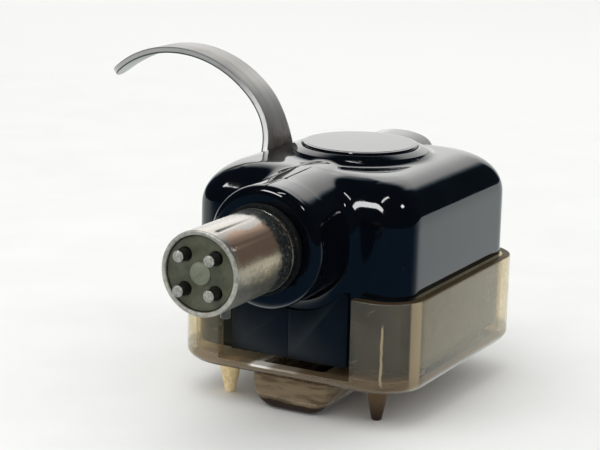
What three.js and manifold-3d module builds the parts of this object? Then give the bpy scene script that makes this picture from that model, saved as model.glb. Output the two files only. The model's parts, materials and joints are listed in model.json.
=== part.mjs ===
// Phono cartridge: a moving-coil motor in a box-shaped headshell with a four-pin bayonet plug,
// a curved finger lift and a clip-on stylus guard.
// Millimetres. +Z is up, +Y runs from the plug to the front of the shell, and X is across.
// The origin is the middle of the flat foot under the guard.

import * as THREE from "three";
import { mergeVertices } from "three/addons/utils/BufferGeometryUtils.js";
import Module from "manifold-3d";

// Layout
const PLUG_AXIS_HEIGHT = 17.9;
const FOOT_TO_COLLAR = 12.2;
const FIT_GAP = 0.05;
const SEAT_GAP = 0.02;
const OVERRUN = 1;

// Shell
const SHELL_WIDTH = 23.8;
const SHELL_LENGTH = 25.2;
const SHELL_RISE = 5.95;
const SHELL_DROP = 12.6;
const SHELL_WALL = 1.3;
const SHELL_CORNER_RADIUS = 2.9;
const SHELL_TOP_RADIUS = 4.4;
const SHELL_LIP_RADIUS = 0.3;
const NECK_RADIUS = 6;
const NECK_LENGTH = 6.6;
const NECK_EDGE = 0.45;
const NECK_FLARE = 1.4;
const RIDGE_EXTRA = 0.25;
const HUMP_RADIUS = 6.9;
const HUMP_END = 2.1;
const HUMP_EDGE = 0.8;

// Cap and its boss
const BOSS_RADIUS = 7.2;
const BOSS_HEIGHT = 0.85;
const BOSS_FLARE = 0.6;
const BOSS_EDGE = 0.15;
const BOSS_FORWARD = 0.7;
const CAP_RADIUS = 5.9;
const CAP_RECESS_DEPTH = 0.95;
const CAP_STAND = 0.3;
const CAP_RIM_WIDTH = 0.35;
const CAP_RIM_HEIGHT = 0.12;
const PAD_LIFT_GAP = 0.44;
const PAD_DEPTH = 2;

// Screws
const MOUNTING_SCREW_RADIUS = 0.95;
const MOUNTING_HEAD_RADIUS = 1.9;
const MOUNTING_HEAD_HEIGHT = 1.1;
const MOUNTING_COUNTERBORE_RADIUS = 2.2;
const MOUNTING_COUNTERBORE_DEPTH = 1.5;
const MOUNTING_SCREW_GRIP = 2.3;
const WASHER_THICKNESS = 0.3;
const WASHER_RADIUS = 2.1;
const SLOT_WIDTH = 0.4;
const SLOT_DEPTH = 0.35;
const SMALL_SCREW_RADIUS = 0.6;
const SMALL_HEAD_RADIUS = 1.25;
const SMALL_HEAD_HEIGHT = 0.8;
const SMALL_SCREW_REACH = 2.4;
const COVER_SCREW_REACH = 4.2;
const GRUB_RADIUS = 0.8;
const GRUB_SETBACK = 2.9;
const GRUB_SUNK = 0.15;

// Plug
const SLEEVE_RADIUS = 4;
const SLEEVE_WALL = 0.45;
const SLEEVE_LENGTH = 11.3;
const SLEEVE_INSET = 8.6;
const SLEEVE_EDGE = 0.12;
const GASKET_RADIUS = 4.4;
const GASKET_THICKNESS = 0.7;
const INSULATOR_INSET = 0.3;
const INSULATOR_LENGTH = 3.1;
const RIVET_HEAD_RADIUS = 1.05;
const RIVET_HEAD_HEIGHT = 0.14;
const RIVET_RADIUS = 0.6;
const PIN_RADIUS = 0.56;
const PIN_PITCH = 3.2;
const PIN_STAND = 1.1;
const PIN_EDGE = 0.16;
const PIN_TAIL = 1;
const LOCATING_PIN_RADIUS = 0.5;
const LOCATING_PIN_STAND = 1.2;
const LOCATING_PIN_SETBACK = 4.8;
const LOCATING_PIN_INSET = 0.85;

// Label
const LABEL_WIDTH = 12.8;
const LABEL_OFFSET = -0.35;
const LABEL_HEIGHT = 7.4;
const LABEL_THICKNESS = 0.25;
const LABEL_LIFT = 0.15;

// Finger lift
const LIFT_ROOT_WIDTH = 5.7;
const LIFT_WAIST_WIDTH = 4;
const LIFT_TIP_WIDTH = 2.1;
const LIFT_THICKNESS = 0.54;
const LIFT_INSET = 2.36;
const LIFT_STRAIGHT = 2.12;
const LIFT_FIRST_RADIUS = 8.33;
const LIFT_FIRST_ANGLE = 46;
const LIFT_SECOND_RADIUS = 12.64;
const LIFT_SECOND_ANGLE = 87.2;
const LIFT_TIP_ROUND = 1.1;
const LIFT_TIP_EDGE = 0.3;
const LIFT_FLARE_LENGTH = 4.1;
const LIFT_TAPER_LENGTH = 10.3;
const LIFT_FOOT_RADIUS = 1.2;
const LIFT_FOOT_LENGTH = 3.4;
const LIFT_SLOT_CLEARANCE = 0.12;
const LIFT_POST_RADIUS = 1.8;
const LIFT_POST_LENGTH = 1.2;
const LIFT_POST_FROM_STRIP = 2.9;

// Motor
const MOTOR_TILT = 24;
const MOTOR_WIDTH = 5.6;
const MOTOR_HEIGHT = 7.5;
const ARMATURE_FORWARD = 10.64;
const ARMATURE_BELOW_AXIS = 11.1;
const ARMATURE_ARM = 1.35;
const ARMATURE_BAR = 0.7;
const ARMATURE_THICKNESS = 0.8;
const COIL_LENGTH = 0.75;
const COIL_BUILD = 0.22;
const YOKE_THICKNESS = 1.4;
const FRONT_YOKE_BELOW = 1.4;
const REAR_YOKE_BELOW = 1.8;
const NOTCH_RADIUS = 1.75;
const MAGNET_HEIGHT = 4.6;
const MOTOR_DEPTH = 7;
const POLE_RADIUS = 1.3;
const POLE_BORE_RADIUS = 0.2;
const DAMPER_RADIUS = 1.15;
const DAMPER_THICKNESS = 0.5;
const DAMPER_BORE_RADIUS = 0.3;
const SWING_GAP = 0.15;
const WIRE_RADIUS = 0.12;
const CLAMP_SCREW_RADIUS = 0.5;
const CLAMP_SCREW_SUNK = 0.2;
const CANTILEVER_RADIUS = 0.35;
const CANTILEVER_TIP_RADIUS = 0.26;
const CANTILEVER_LENGTH = 8.6;
const STYLUS_SHANK_RADIUS = 0.16;
const STYLUS_SHANK_LENGTH = 0.45;
const STYLUS_CONE_LENGTH = 0.5;
const STYLUS_TIP_RADIUS = 0.02;
const STYLUS_SETBACK = 0.35;

// Motor carrier, terminals and weight
const CARRIER_POST_GAP = 0.44;
const CARRIER_REAR_OVERHANG = 5.9;
const CARRIER_FRONT_OVERHANG = 1;
const CARRIER_LEG = 1;
const CARRIER_LEG_DROP = 5;
const TERMINAL_BOARD_THICKNESS = 0.8;
const TERMINAL_BOARD_HEIGHT = 5;
const TERMINAL_BOARD_DROP = 1;
const TERMINAL_PIN_RADIUS = 0.3;
const TERMINAL_PIN_EDGE = 1.25;
const TERMINAL_PIN_STAND = 1.1;
const LEAD_RADIUS = 0.28;
const LEAD_END_GAP = 0.05;
const LEAD_BEND = 0.8;
const WEIGHT_POST_GAP = 0.5;
const WEIGHT_LENGTH = 4.3;
const WEIGHT_HEIGHT = 5.2;
const WEIGHT_EDGE = 0.4;

// Bottom cover
const COVER_THICKNESS = 0.8;
const COVER_SUNK = 0.2;
const COVER_CLEARANCE = 0.2;
const COVER_WINDOW_WIDTH = 6.4;
const COVER_WINDOW_REAR = 6.6;
const COVER_WINDOW_FRONT = 0.8;
const COVER_POST_RADIUS = 1.7;
const COVER_POST_FROM_WALL = 2.1;
const COVER_POST_FORWARD = 2.5;

// Stylus guard
const GUARD_SIDE_GAP = 0.35;
const GUARD_REAR_GAP = 0.6;
const GUARD_FRONT_GAP = 0.3;
const GUARD_WALL = 1;
const GUARD_TOP_DROP = 5.4;
const GUARD_FLOOR = 1;
const GUARD_CORNER_RADIUS = 4.2;
const GUARD_FOOT_RADIUS = 1.2;
const GUARD_LIP_RADIUS = 0.2;
const GUARD_CUT_WIDTH = 14.6;
const GUARD_CUT_OFFSET = -0.25;
const GUARD_CUT_SILL = 0.12;
const GUARD_SHELL_GAP = 0.78;
const RAIL_LENGTH = 16;
const RAIL_WIDTH = 0.9;
const PEG_SPACING = 16.6;
const PEG_BASE_RADIUS = 1.25;
const PEG_TIP_RADIUS = 0.5;
const PEG_SETBACK = 3.8;
const PEG_TIP_EDGE = 0.25;
const TROUGH_WIDTH = 8.6;
const TROUGH_NOSE_WIDTH = 5;
const TROUGH_REAR_SETBACK = 0.9;
const TROUGH_FRONT_SETBACK = 1.3;
const TROUGH_WALL = 0.8;
const TROUGH_FLAT_LENGTH = 11.6;
const TROUGH_NOSE_DEPTH = 2.3;
const TROUGH_SIDE_RADIUS = 2;
const TROUGH_END_RADIUS = 0.9;

// Facet counts
const ROUND_SIDES = 48;
const SMALL_SIDES = 20;
const TINY_SIDES = 12;
const CORNER_STEPS = 6;
const EDGE_STEPS = 7;
const LIFT_STEPS = 18;

// Places worked out from the sizes
const COLLAR_Y = -FOOT_TO_COLLAR;
const PLUG_Y = COLLAR_Y - SLEEVE_LENGTH;
const SHELL_REAR_Y = COLLAR_Y + NECK_LENGTH;
const SHELL_FRONT_Y = SHELL_REAR_Y + SHELL_LENGTH;
const SHELL_MID_Y = (SHELL_REAR_Y + SHELL_FRONT_Y) / 2;
const SHELL_BOTTOM_Z = PLUG_AXIS_HEIGHT - SHELL_DROP;
const ROOF_Z = PLUG_AXIS_HEIGHT + SHELL_RISE;
const CEILING_Z = ROOF_Z - SHELL_WALL;
const INSIDE_REAR_Y = SHELL_REAR_Y + SHELL_WALL;
const INSIDE_FRONT_Y = SHELL_FRONT_Y - SHELL_WALL;
const BOSS_Y = SHELL_MID_Y + BOSS_FORWARD;
const BOSS_TOP_Z = ROOF_Z + BOSS_HEIGHT;
const CAP_FLOOR_Z = BOSS_TOP_Z - CAP_RECESS_DEPTH;
const COUNTERBORE_FLOOR_Z = CAP_FLOOR_Z - MOUNTING_COUNTERBORE_DEPTH;
const PAD_Z = CEILING_Z - PAD_DEPTH;
const SLEEVE_INSIDE_RADIUS = SLEEVE_RADIUS - SLEEVE_WALL;
const INSULATOR_Y = PLUG_Y + INSULATOR_INSET;
const INSULATOR_END_Y = INSULATOR_Y + INSULATOR_LENGTH;
const GRUB_Y = COLLAR_Y + GRUB_SETBACK;
const LIFT_STRIP_X = -SHELL_WIDTH / 2 + LIFT_INSET;
const LIFT_Y = BOSS_Y;
const LIFT_POST_X = LIFT_STRIP_X + LIFT_POST_FROM_STRIP;
const LIFT_FOOT_END_X = LIFT_STRIP_X + LIFT_FOOT_RADIUS + LIFT_FOOT_LENGTH;
const PAD_RADIUS = -LIFT_FOOT_END_X - PAD_LIFT_GAP;
const CARRIER_HALF_WIDTH = -LIFT_POST_X - LIFT_POST_RADIUS - CARRIER_POST_GAP;
const TERMINAL_PIN_PITCH = (2 * (CARRIER_HALF_WIDTH - TERMINAL_PIN_EDGE)) / 3;
const LIFT_POST_END_Z = CEILING_Z - LIFT_POST_LENGTH;
const LIFT_FOOT_Z = LIFT_POST_END_Z - FIT_GAP - LIFT_THICKNESS / 2;
const COVER_TOP_Z = SHELL_BOTTOM_Z + COVER_SUNK + COVER_THICKNESS;
const COVER_POST_X = SHELL_WIDTH / 2 - SHELL_WALL - COVER_POST_FROM_WALL;
const COVER_POST_Y = INSIDE_REAR_Y + COVER_POST_FORWARD;
const GUARD_HALF_WIDTH = SHELL_WIDTH / 2 + GUARD_SIDE_GAP + GUARD_WALL;
const GUARD_REAR_Y = SHELL_REAR_Y - GUARD_REAR_GAP - GUARD_WALL;
const GUARD_FRONT_Y = SHELL_FRONT_Y + GUARD_FRONT_GAP + GUARD_WALL;
const GUARD_TOP_Z = PLUG_AXIS_HEIGHT - GUARD_TOP_DROP;
const GUARD_FLOOR_TOP_Z = SHELL_BOTTOM_Z - GUARD_SHELL_GAP;
const GUARD_BOTTOM_Z = GUARD_FLOOR_TOP_Z - GUARD_FLOOR;
const ARMATURE_Y = ARMATURE_FORWARD;
const ARMATURE_Z = PLUG_AXIS_HEIGHT - ARMATURE_BELOW_AXIS;
const TILT = THREE.MathUtils.degToRad(MOTOR_TILT);

const wasm = await Module();
wasm.setup();

// Solids and meshes

function solid(geometry) {
  const bare = geometry.clone();
  bare.deleteAttribute("normal");
  bare.deleteAttribute("uv");
  const merged = mergeVertices(bare, 1e-5);
  return new wasm.Manifold(
    new wasm.Mesh({
      numProp: 3,
      vertProperties: new Float32Array(merged.attributes.position.array),
      triVerts: new Uint32Array(merged.index.array),
    }),
  );
}

function surface(made) {
  const mesh = made.getMesh();
  const geometry = new THREE.BufferGeometry();
  geometry.setAttribute("position", new THREE.BufferAttribute(mesh.vertProperties, 3));
  geometry.setIndex(new THREE.BufferAttribute(mesh.triVerts, 1));
  const flat = geometry.toNonIndexed();
  flat.computeVertexNormals();
  return flat;
}

function join(...solids) {
  return solids.reduce((all, next) => all.add(next));
}

function cut(body, ...tools) {
  return tools.reduce((rest, tool) => rest.subtract(tool), body);
}

// A box given by its low and high corners.
function block([x0, y0, z0], [x1, y1, z1]) {
  const geometry = new THREE.BoxGeometry(x1 - x0, y1 - y0, z1 - z0);
  geometry.translate((x0 + x1) / 2, (y0 + y1) / 2, (z0 + z1) / 2);
  return solid(geometry);
}

// A solid of revolution about an axis through a point; the outline is [radius, height] pairs that rise.
function turned(outline, axis, [x, y, z], sides = SMALL_SIDES) {
  const geometry = new THREE.LatheGeometry(
    outline.map(([radius, height]) => new THREE.Vector2(radius, height)),
    sides,
  );
  if (axis === "x") geometry.rotateZ(-Math.PI / 2);
  if (axis === "z") geometry.rotateX(Math.PI / 2);
  geometry.translate(x, y, z);
  return solid(geometry);
}

function rod(radius, from, to, axis, place, sides = SMALL_SIDES) {
  const outline = [[0, from], [radius, from], [radius, to], [0, to]];
  return turned(outline, axis, place, sides);
}

// A closed solid through rings of points that each hold the same count; both ends are capped from their middles.
function lofted(rings) {
  const count = rings[0].length;
  const positions = rings.flat().flatMap((point) => point.toArray());
  const indices = [];
  for (let ring = 0; ring < rings.length - 1; ring++) {
    for (let i = 0; i < count; i++) {
      const a = ring * count + i;
      const b = ring * count + ((i + 1) % count);
      indices.push(a, b, b + count, a, b + count, a + count);
    }
  }
  for (const [ring, forwards] of [[0, false], [rings.length - 1, true]]) {
    const middle = rings[ring].reduce((sum, point) => sum.add(point), new THREE.Vector3());
    positions.push(...middle.divideScalar(count).toArray());
    const centre = positions.length / 3 - 1;
    for (let i = 0; i < count; i++) {
      const a = ring * count + i;
      const b = ring * count + ((i + 1) % count);
      indices.push(...(forwards ? [a, b, centre] : [b, a, centre]));
    }
  }
  const geometry = new THREE.BufferGeometry();
  geometry.setAttribute("position", new THREE.Float32BufferAttribute(positions, 3));
  geometry.setIndex(indices);
  return solid(geometry);
}

// A level ring round a rectangle with round corners, counter-clockwise from above.
function levelRing(halfWidth, rear, front, corner, z) {
  const points = [];
  const corners = [
    [halfWidth - corner, rear + corner, -90],
    [halfWidth - corner, front - corner, 0],
    [corner - halfWidth, front - corner, 90],
    [corner - halfWidth, rear + corner, 180],
  ];
  for (const [x, y, start] of corners) {
    for (let i = 0; i <= CORNER_STEPS; i++) {
      const angle = THREE.MathUtils.degToRad(start + (90 * i) / CORNER_STEPS);
      points.push(new THREE.Vector3(x + corner * Math.cos(angle), y + corner * Math.sin(angle), z));
    }
  }
  return points;
}

// An upright box with round corners, and round edges at its bottom and top.
function roundedBox(size) {
  const { halfWidth, rear, front, bottom, top, corner, bottomRadius, topRadius } = size;
  const rings = [];
  const ring = (inset, z) =>
    rings.push(levelRing(halfWidth - inset, rear + inset, front - inset, corner, z));
  for (let i = 0; i <= EDGE_STEPS; i++) {
    const angle = ((Math.PI / 2) * i) / EDGE_STEPS;
    ring(bottomRadius * (1 - Math.sin(angle)), bottom + bottomRadius * (1 - Math.cos(angle)));
  }
  for (let i = 0; i <= EDGE_STEPS; i++) {
    const angle = ((Math.PI / 2) * i) / EDGE_STEPS;
    ring(topRadius * (1 - Math.cos(angle)), top - topRadius * (1 - Math.sin(angle)));
  }
  return lofted(rings);
}

// A round rod through points, with flat ends.
function bentRod(points, radius, steps) {
  const section = new THREE.Shape();
  section.absarc(0, 0, radius, 0, 2 * Math.PI);
  const path = new THREE.CatmullRomCurve3(points);
  const options = { steps, curveSegments: TINY_SIDES / 2, bevelEnabled: false, extrudePath: path };
  return solid(new THREE.ExtrudeGeometry(section, options));
}

// Materials
const plain = (color, roughness, metalness, opacity = 1) =>
  new THREE.MeshStandardMaterial({
    color,
    roughness,
    metalness,
    opacity,
    transparent: opacity < 1,
    side: THREE.DoubleSide,
  });
const BLACK_PLASTIC = plain(0x10141c, 0.15, 0);
const LABEL_FOIL = plain(0x101c30, 0.3, 0);
const NICKEL = plain(0xb9b0a0, 0.3, 0.9);
const STEEL = plain(0xa8a49e, 0.35, 0.9);
const BRASS = plain(0xc2a45c, 0.3, 0.9);
const GREY_GREEN = plain(0x6f7a66, 0.6, 0);
const CARRIER_PLASTIC = plain(0x3a3c40, 0.5, 0);
const MAGNET_GREY = plain(0x55565c, 0.5, 0.5);
const SOFT_IRON = plain(0x8c8c90, 0.4, 0.9);
const RUBBER = plain(0x1a1a1c, 0.9, 0);
const COPPER = plain(0xb06a3a, 0.4, 0.8);
const ALUMINIUM = plain(0xc8c9cc, 0.3, 0.9);
const DIAMOND = plain(0xe8eef2, 0.05, 0);
const AMBER_PLASTIC = plain(0xb9a07a, 0.2, 0, 0.55);
const BOARD_BROWN = plain(0x6b4a2c, 0.6, 0);
const LEAD_COLOURS = [0xb02a24, 0xe6e2d6, 0x2a7a44, 0x2a4c9c].map((color) => plain(color, 0.5, 0));

const cartridge = new THREE.Group();
const motor = new THREE.Group();
motor.position.set(0, ARMATURE_Y, ARMATURE_Z);
motor.rotation.x = -TILT;
cartridge.add(motor);

function piece(name, made, material, group = cartridge) {
  const mesh = new THREE.Mesh(surface(made), material);
  mesh.name = name;
  group.add(mesh);
}

const onPlugAxis = [0, 0, PLUG_AXIS_HEIGHT];
const onBossAxis = [0, BOSS_Y, 0];

// Shell: a box that is open below, with the neck, the ridge and hump on its roof, the cap's boss and the posts inside.

function shellBox() {
  return roundedBox({
    halfWidth: SHELL_WIDTH / 2,
    rear: SHELL_REAR_Y,
    front: SHELL_FRONT_Y,
    bottom: SHELL_BOTTOM_Z,
    top: ROOF_Z,
    corner: SHELL_CORNER_RADIUS,
    bottomRadius: SHELL_LIP_RADIUS,
    topRadius: SHELL_TOP_RADIUS,
  });
}

function shellHollow() {
  return roundedBox({
    halfWidth: SHELL_WIDTH / 2 - SHELL_WALL,
    rear: INSIDE_REAR_Y,
    front: INSIDE_FRONT_Y,
    bottom: SHELL_BOTTOM_Z - OVERRUN,
    top: CEILING_Z,
    corner: SHELL_CORNER_RADIUS - SHELL_WALL,
    bottomRadius: 0,
    topRadius: SHELL_TOP_RADIUS - SHELL_WALL,
  });
}

function neck() {
  const end = SHELL_REAR_Y + SHELL_WALL / 2;
  const tube = [
    [0, COLLAR_Y],
    [NECK_RADIUS - NECK_EDGE, COLLAR_Y],
    [NECK_RADIUS, COLLAR_Y + NECK_EDGE],
    [NECK_RADIUS, end],
    [0, end],
  ];
  const ridge = rod(NECK_RADIUS + RIDGE_EXTRA, SHELL_REAR_Y, BOSS_Y, "y", onPlugAxis, ROUND_SIDES);
  return join(turned(tube, "y", onPlugAxis, ROUND_SIDES), neckFlare(), ridge);
}

// The hollow fillet where the neck meets the rear wall; it dies out over the round edge of the roof.
function neckFlare() {
  const outline = [[0, SHELL_REAR_Y - NECK_FLARE]];
  for (let i = 0; i <= EDGE_STEPS; i++) {
    const angle = ((Math.PI / 2) * i) / EDGE_STEPS;
    outline.push([
      NECK_RADIUS + NECK_FLARE * (1 - Math.cos(angle)),
      SHELL_REAR_Y - NECK_FLARE * (1 - Math.sin(angle)),
    ]);
  }
  outline.push([NECK_RADIUS + NECK_FLARE, SHELL_REAR_Y + SHELL_WALL / 2], [0, SHELL_REAR_Y + SHELL_WALL / 2]);
  const limit = roundedBox({
    halfWidth: SHELL_WIDTH / 2,
    rear: SHELL_REAR_Y - NECK_FLARE,
    front: SHELL_FRONT_Y,
    bottom: SHELL_BOTTOM_Z,
    top: ROOF_Z,
    corner: SHELL_CORNER_RADIUS,
    bottomRadius: SHELL_LIP_RADIUS,
    topRadius: SHELL_TOP_RADIUS + NECK_FLARE,
  });
  return turned(outline, "y", onPlugAxis, ROUND_SIDES).intersect(limit);
}

function hump() {
  const end = SHELL_FRONT_Y - HUMP_END;
  const outline = [
    [0, BOSS_Y],
    [HUMP_RADIUS, BOSS_Y],
    [HUMP_RADIUS, end - HUMP_EDGE],
    [HUMP_RADIUS - HUMP_EDGE / 2, end - HUMP_EDGE / 4],
    [HUMP_RADIUS - HUMP_EDGE, end],
    [0, end],
  ];
  return turned(outline, "y", onPlugAxis, ROUND_SIDES);
}

function boss() {
  const outline = [
    [0, CEILING_Z],
    [BOSS_RADIUS + BOSS_FLARE, CEILING_Z],
    [BOSS_RADIUS + BOSS_FLARE, ROOF_Z],
    [BOSS_RADIUS + BOSS_FLARE / 4, ROOF_Z + BOSS_FLARE / 4],
    [BOSS_RADIUS, ROOF_Z + BOSS_FLARE],
    [BOSS_RADIUS, BOSS_TOP_Z - BOSS_EDGE],
    [BOSS_RADIUS - BOSS_EDGE, BOSS_TOP_Z],
    [0, BOSS_TOP_Z],
  ];
  return turned(outline, "z", onBossAxis, ROUND_SIDES);
}

function shellPosts() {
  const posts = [
    rod(PAD_RADIUS, PAD_Z, CEILING_Z, "z", onBossAxis, ROUND_SIDES),
    rod(LIFT_POST_RADIUS, LIFT_POST_END_Z, CEILING_Z, "z", [LIFT_POST_X, LIFT_Y, 0]),
  ];
  for (const side of [-1, 1]) {
    posts.push(rod(COVER_POST_RADIUS, COVER_TOP_Z, CEILING_Z, "z", [side * COVER_POST_X, COVER_POST_Y, 0]));
  }
  return posts;
}

function shellHoles() {
  const slotHalf = LIFT_THICKNESS / 2 + LIFT_SLOT_CLEARANCE;
  const slotEnd = LIFT_ROOT_WIDTH / 2 + LIFT_SLOT_CLEARANCE;
  const screwHole = SMALL_SCREW_RADIUS + FIT_GAP;
  const liftHoleTop = CEILING_Z + SHELL_WALL / 2;
  const holes = [
    rod(SLEEVE_RADIUS + FIT_GAP, COLLAR_Y - OVERRUN, INSIDE_REAR_Y + OVERRUN, "y", onPlugAxis, ROUND_SIDES),
    rod(CAP_RADIUS + FIT_GAP, CAP_FLOOR_Z, BOSS_TOP_Z + OVERRUN, "z", onBossAxis, ROUND_SIDES),
    rod(MOUNTING_COUNTERBORE_RADIUS, COUNTERBORE_FLOOR_Z, BOSS_TOP_Z, "z", onBossAxis),
    rod(MOUNTING_SCREW_RADIUS + FIT_GAP, PAD_Z - OVERRUN, BOSS_TOP_Z, "z", onBossAxis),
    block(
      [LIFT_STRIP_X - slotHalf, LIFT_Y - slotEnd, CEILING_Z - SHELL_TOP_RADIUS],
      [LIFT_STRIP_X + slotHalf, LIFT_Y + slotEnd, ROOF_Z + OVERRUN],
    ),
    rod(screwHole, LIFT_POST_END_Z - OVERRUN, liftHoleTop, "z", [LIFT_POST_X, LIFT_Y, 0]),
    rod(GRUB_RADIUS + FIT_GAP, -NECK_RADIUS - OVERRUN, 0, "z", [0, GRUB_Y, PLUG_AXIS_HEIGHT]),
  ];
  for (const side of [-1, 1]) {
    const top = COVER_TOP_Z + COVER_SCREW_REACH;
    holes.push(rod(screwHole, COVER_TOP_Z - OVERRUN, top, "z", [side * COVER_POST_X, COVER_POST_Y, 0]));
  }
  return holes;
}

function shell() {
  const hollowed = cut(join(shellBox(), neck(), hump(), boss()), shellHollow());
  return cut(join(hollowed, ...shellPosts()), ...shellHoles());
}

function topCap() {
  const top = BOSS_TOP_Z + CAP_STAND;
  const outline = [
    [0, CAP_FLOOR_Z + SEAT_GAP],
    [CAP_RADIUS, CAP_FLOOR_Z + SEAT_GAP],
    [CAP_RADIUS, top - CAP_RIM_HEIGHT],
    [CAP_RADIUS - CAP_RIM_WIDTH / 3, top],
    [CAP_RADIUS - CAP_RIM_WIDTH, top],
    [CAP_RADIUS - CAP_RIM_WIDTH - CAP_RIM_HEIGHT, top - CAP_RIM_HEIGHT],
    [0, top - CAP_RIM_HEIGHT],
  ];
  return turned(outline, "z", onBossAxis, ROUND_SIDES);
}

function labelPlate() {
  const left = LABEL_OFFSET - LABEL_WIDTH / 2;
  const bottom = SHELL_BOTTOM_Z + LABEL_LIFT;
  const plate = block(
    [left, SHELL_REAR_Y - SEAT_GAP - LABEL_THICKNESS, bottom],
    [left + LABEL_WIDTH, SHELL_REAR_Y - SEAT_GAP, bottom + LABEL_HEIGHT],
  );
  const round = NECK_RADIUS + NECK_FLARE + FIT_GAP;
  return cut(plate, rod(round, COLLAR_Y, SHELL_REAR_Y, "y", onPlugAxis, ROUND_SIDES));
}

// A screw along +Z from its point: shank, head above it and a slot across the head.
function slottedScrew(radius, length, headRadius, headHeight) {
  const body = turned(
    [[0, -length], [radius, -length], [radius, 0], [headRadius, 0], [headRadius, headHeight], [0, headHeight]],
    "z",
    [0, 0, 0],
  );
  const slot = block(
    [-headRadius - OVERRUN, -SLOT_WIDTH / 2, headHeight - SLOT_DEPTH],
    [headRadius + OVERRUN, SLOT_WIDTH / 2, headHeight + OVERRUN],
  );
  return cut(body, slot);
}

function mountingScrew() {
  const seat = COUNTERBORE_FLOOR_Z + WASHER_THICKNESS + 2 * SEAT_GAP;
  const length = seat - PAD_Z + MOUNTING_SCREW_GRIP;
  const screw = slottedScrew(MOUNTING_SCREW_RADIUS, length, MOUNTING_HEAD_RADIUS, MOUNTING_HEAD_HEIGHT);
  return screw.translate([0, BOSS_Y, seat]);
}

function mountingWasher() {
  const from = COUNTERBORE_FLOOR_Z + SEAT_GAP;
  const hole = rod(MOUNTING_SCREW_RADIUS + FIT_GAP, from - OVERRUN, from + OVERRUN, "z", onBossAxis);
  return cut(rod(WASHER_RADIUS, from, from + WASHER_THICKNESS, "z", onBossAxis), hole);
}

// Plug

function connectorSleeve() {
  const end = COLLAR_Y + SLEEVE_INSET;
  const outline = [
    [SLEEVE_INSIDE_RADIUS, PLUG_Y + SLEEVE_EDGE],
    [SLEEVE_INSIDE_RADIUS + SLEEVE_EDGE, PLUG_Y],
    [SLEEVE_RADIUS - SLEEVE_EDGE, PLUG_Y],
    [SLEEVE_RADIUS, PLUG_Y + SLEEVE_EDGE],
    [SLEEVE_RADIUS, end],
    [SLEEVE_INSIDE_RADIUS, end],
    [SLEEVE_INSIDE_RADIUS, PLUG_Y + SLEEVE_EDGE],
  ];
  const pinHole = rod(LOCATING_PIN_RADIUS + FIT_GAP, -SLEEVE_RADIUS - OVERRUN, 0, "z", [
    0,
    PLUG_Y + LOCATING_PIN_SETBACK,
    PLUG_AXIS_HEIGHT,
  ]);
  return cut(turned(outline, "y", onPlugAxis, ROUND_SIDES), pinHole);
}

function locatingPin() {
  const outer = SLEEVE_RADIUS + LOCATING_PIN_STAND;
  const outline = [
    [0, -outer],
    [LOCATING_PIN_RADIUS - SLEEVE_EDGE, -outer],
    [LOCATING_PIN_RADIUS, SLEEVE_EDGE - outer],
    [LOCATING_PIN_RADIUS, LOCATING_PIN_INSET - SLEEVE_RADIUS],
    [0, LOCATING_PIN_INSET - SLEEVE_RADIUS],
  ];
  return turned(outline, "z", [0, PLUG_Y + LOCATING_PIN_SETBACK, PLUG_AXIS_HEIGHT]);
}

function collarGasket() {
  const outline = [
    [SLEEVE_RADIUS + FIT_GAP, COLLAR_Y - SEAT_GAP - GASKET_THICKNESS],
    [GASKET_RADIUS, COLLAR_Y - SEAT_GAP - GASKET_THICKNESS],
    [GASKET_RADIUS, COLLAR_Y - SEAT_GAP],
    [SLEEVE_RADIUS + FIT_GAP, COLLAR_Y - SEAT_GAP],
    [SLEEVE_RADIUS + FIT_GAP, COLLAR_Y - SEAT_GAP - GASKET_THICKNESS],
  ];
  return turned(outline, "y", onPlugAxis, ROUND_SIDES);
}

const pinPlaces = [
  [-1, 1],
  [1, 1],
  [-1, -1],
  [1, -1],
].map(([x, z]) => [(x * PIN_PITCH) / 2, 0, PLUG_AXIS_HEIGHT + (z * PIN_PITCH) / 2]);

function connectorInsulator() {
  const radius = SLEEVE_INSIDE_RADIUS - FIT_GAP;
  const disc = rod(radius, INSULATOR_Y, INSULATOR_END_Y, "y", onPlugAxis, ROUND_SIDES);
  const from = INSULATOR_Y - OVERRUN;
  const to = INSULATOR_END_Y + OVERRUN;
  const holes = pinPlaces.map((place) => rod(PIN_RADIUS + FIT_GAP, from, to, "y", place));
  return cut(disc, rod(RIVET_RADIUS + FIT_GAP, from, to, "y", onPlugAxis), ...holes);
}

function insulatorRivet() {
  const head = INSULATOR_Y - SEAT_GAP;
  const outline = [
    [0, head - RIVET_HEAD_HEIGHT],
    [RIVET_HEAD_RADIUS - RIVET_HEAD_HEIGHT / 2, head - RIVET_HEAD_HEIGHT],
    [RIVET_HEAD_RADIUS, head - RIVET_HEAD_HEIGHT / 2],
    [RIVET_HEAD_RADIUS, head],
    [RIVET_RADIUS, head],
    [RIVET_RADIUS, INSULATOR_END_Y],
    [0, INSULATOR_END_Y],
  ];
  return turned(outline, "y", onPlugAxis);
}

function contactPin(place) {
  const outline = [
    [0, PLUG_Y - PIN_STAND],
    [PIN_RADIUS - PIN_EDGE, PLUG_Y - PIN_STAND],
    [PIN_RADIUS, PLUG_Y - PIN_STAND + PIN_EDGE],
    [PIN_RADIUS, INSULATOR_END_Y + PIN_TAIL],
    [0, INSULATOR_END_Y + PIN_TAIL],
  ];
  return turned(outline, "y", place);
}

function sleeveSetScrew() {
  const outer = NECK_RADIUS - GRUB_SUNK;
  const body = rod(GRUB_RADIUS, -outer, -SLEEVE_RADIUS - FIT_GAP, "z", [0, 0, 0]);
  const slot = block(
    [-GRUB_RADIUS - OVERRUN, -SLOT_WIDTH / 2, -outer - OVERRUN],
    [GRUB_RADIUS + OVERRUN, SLOT_WIDTH / 2, SLOT_DEPTH - outer],
  );
  return cut(body, slot).translate([0, GRUB_Y, PLUG_AXIS_HEIGHT]);
}

// Finger lift: a strip whose foot lies under a post, and which climbs through the roof and curls outwards.

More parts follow.
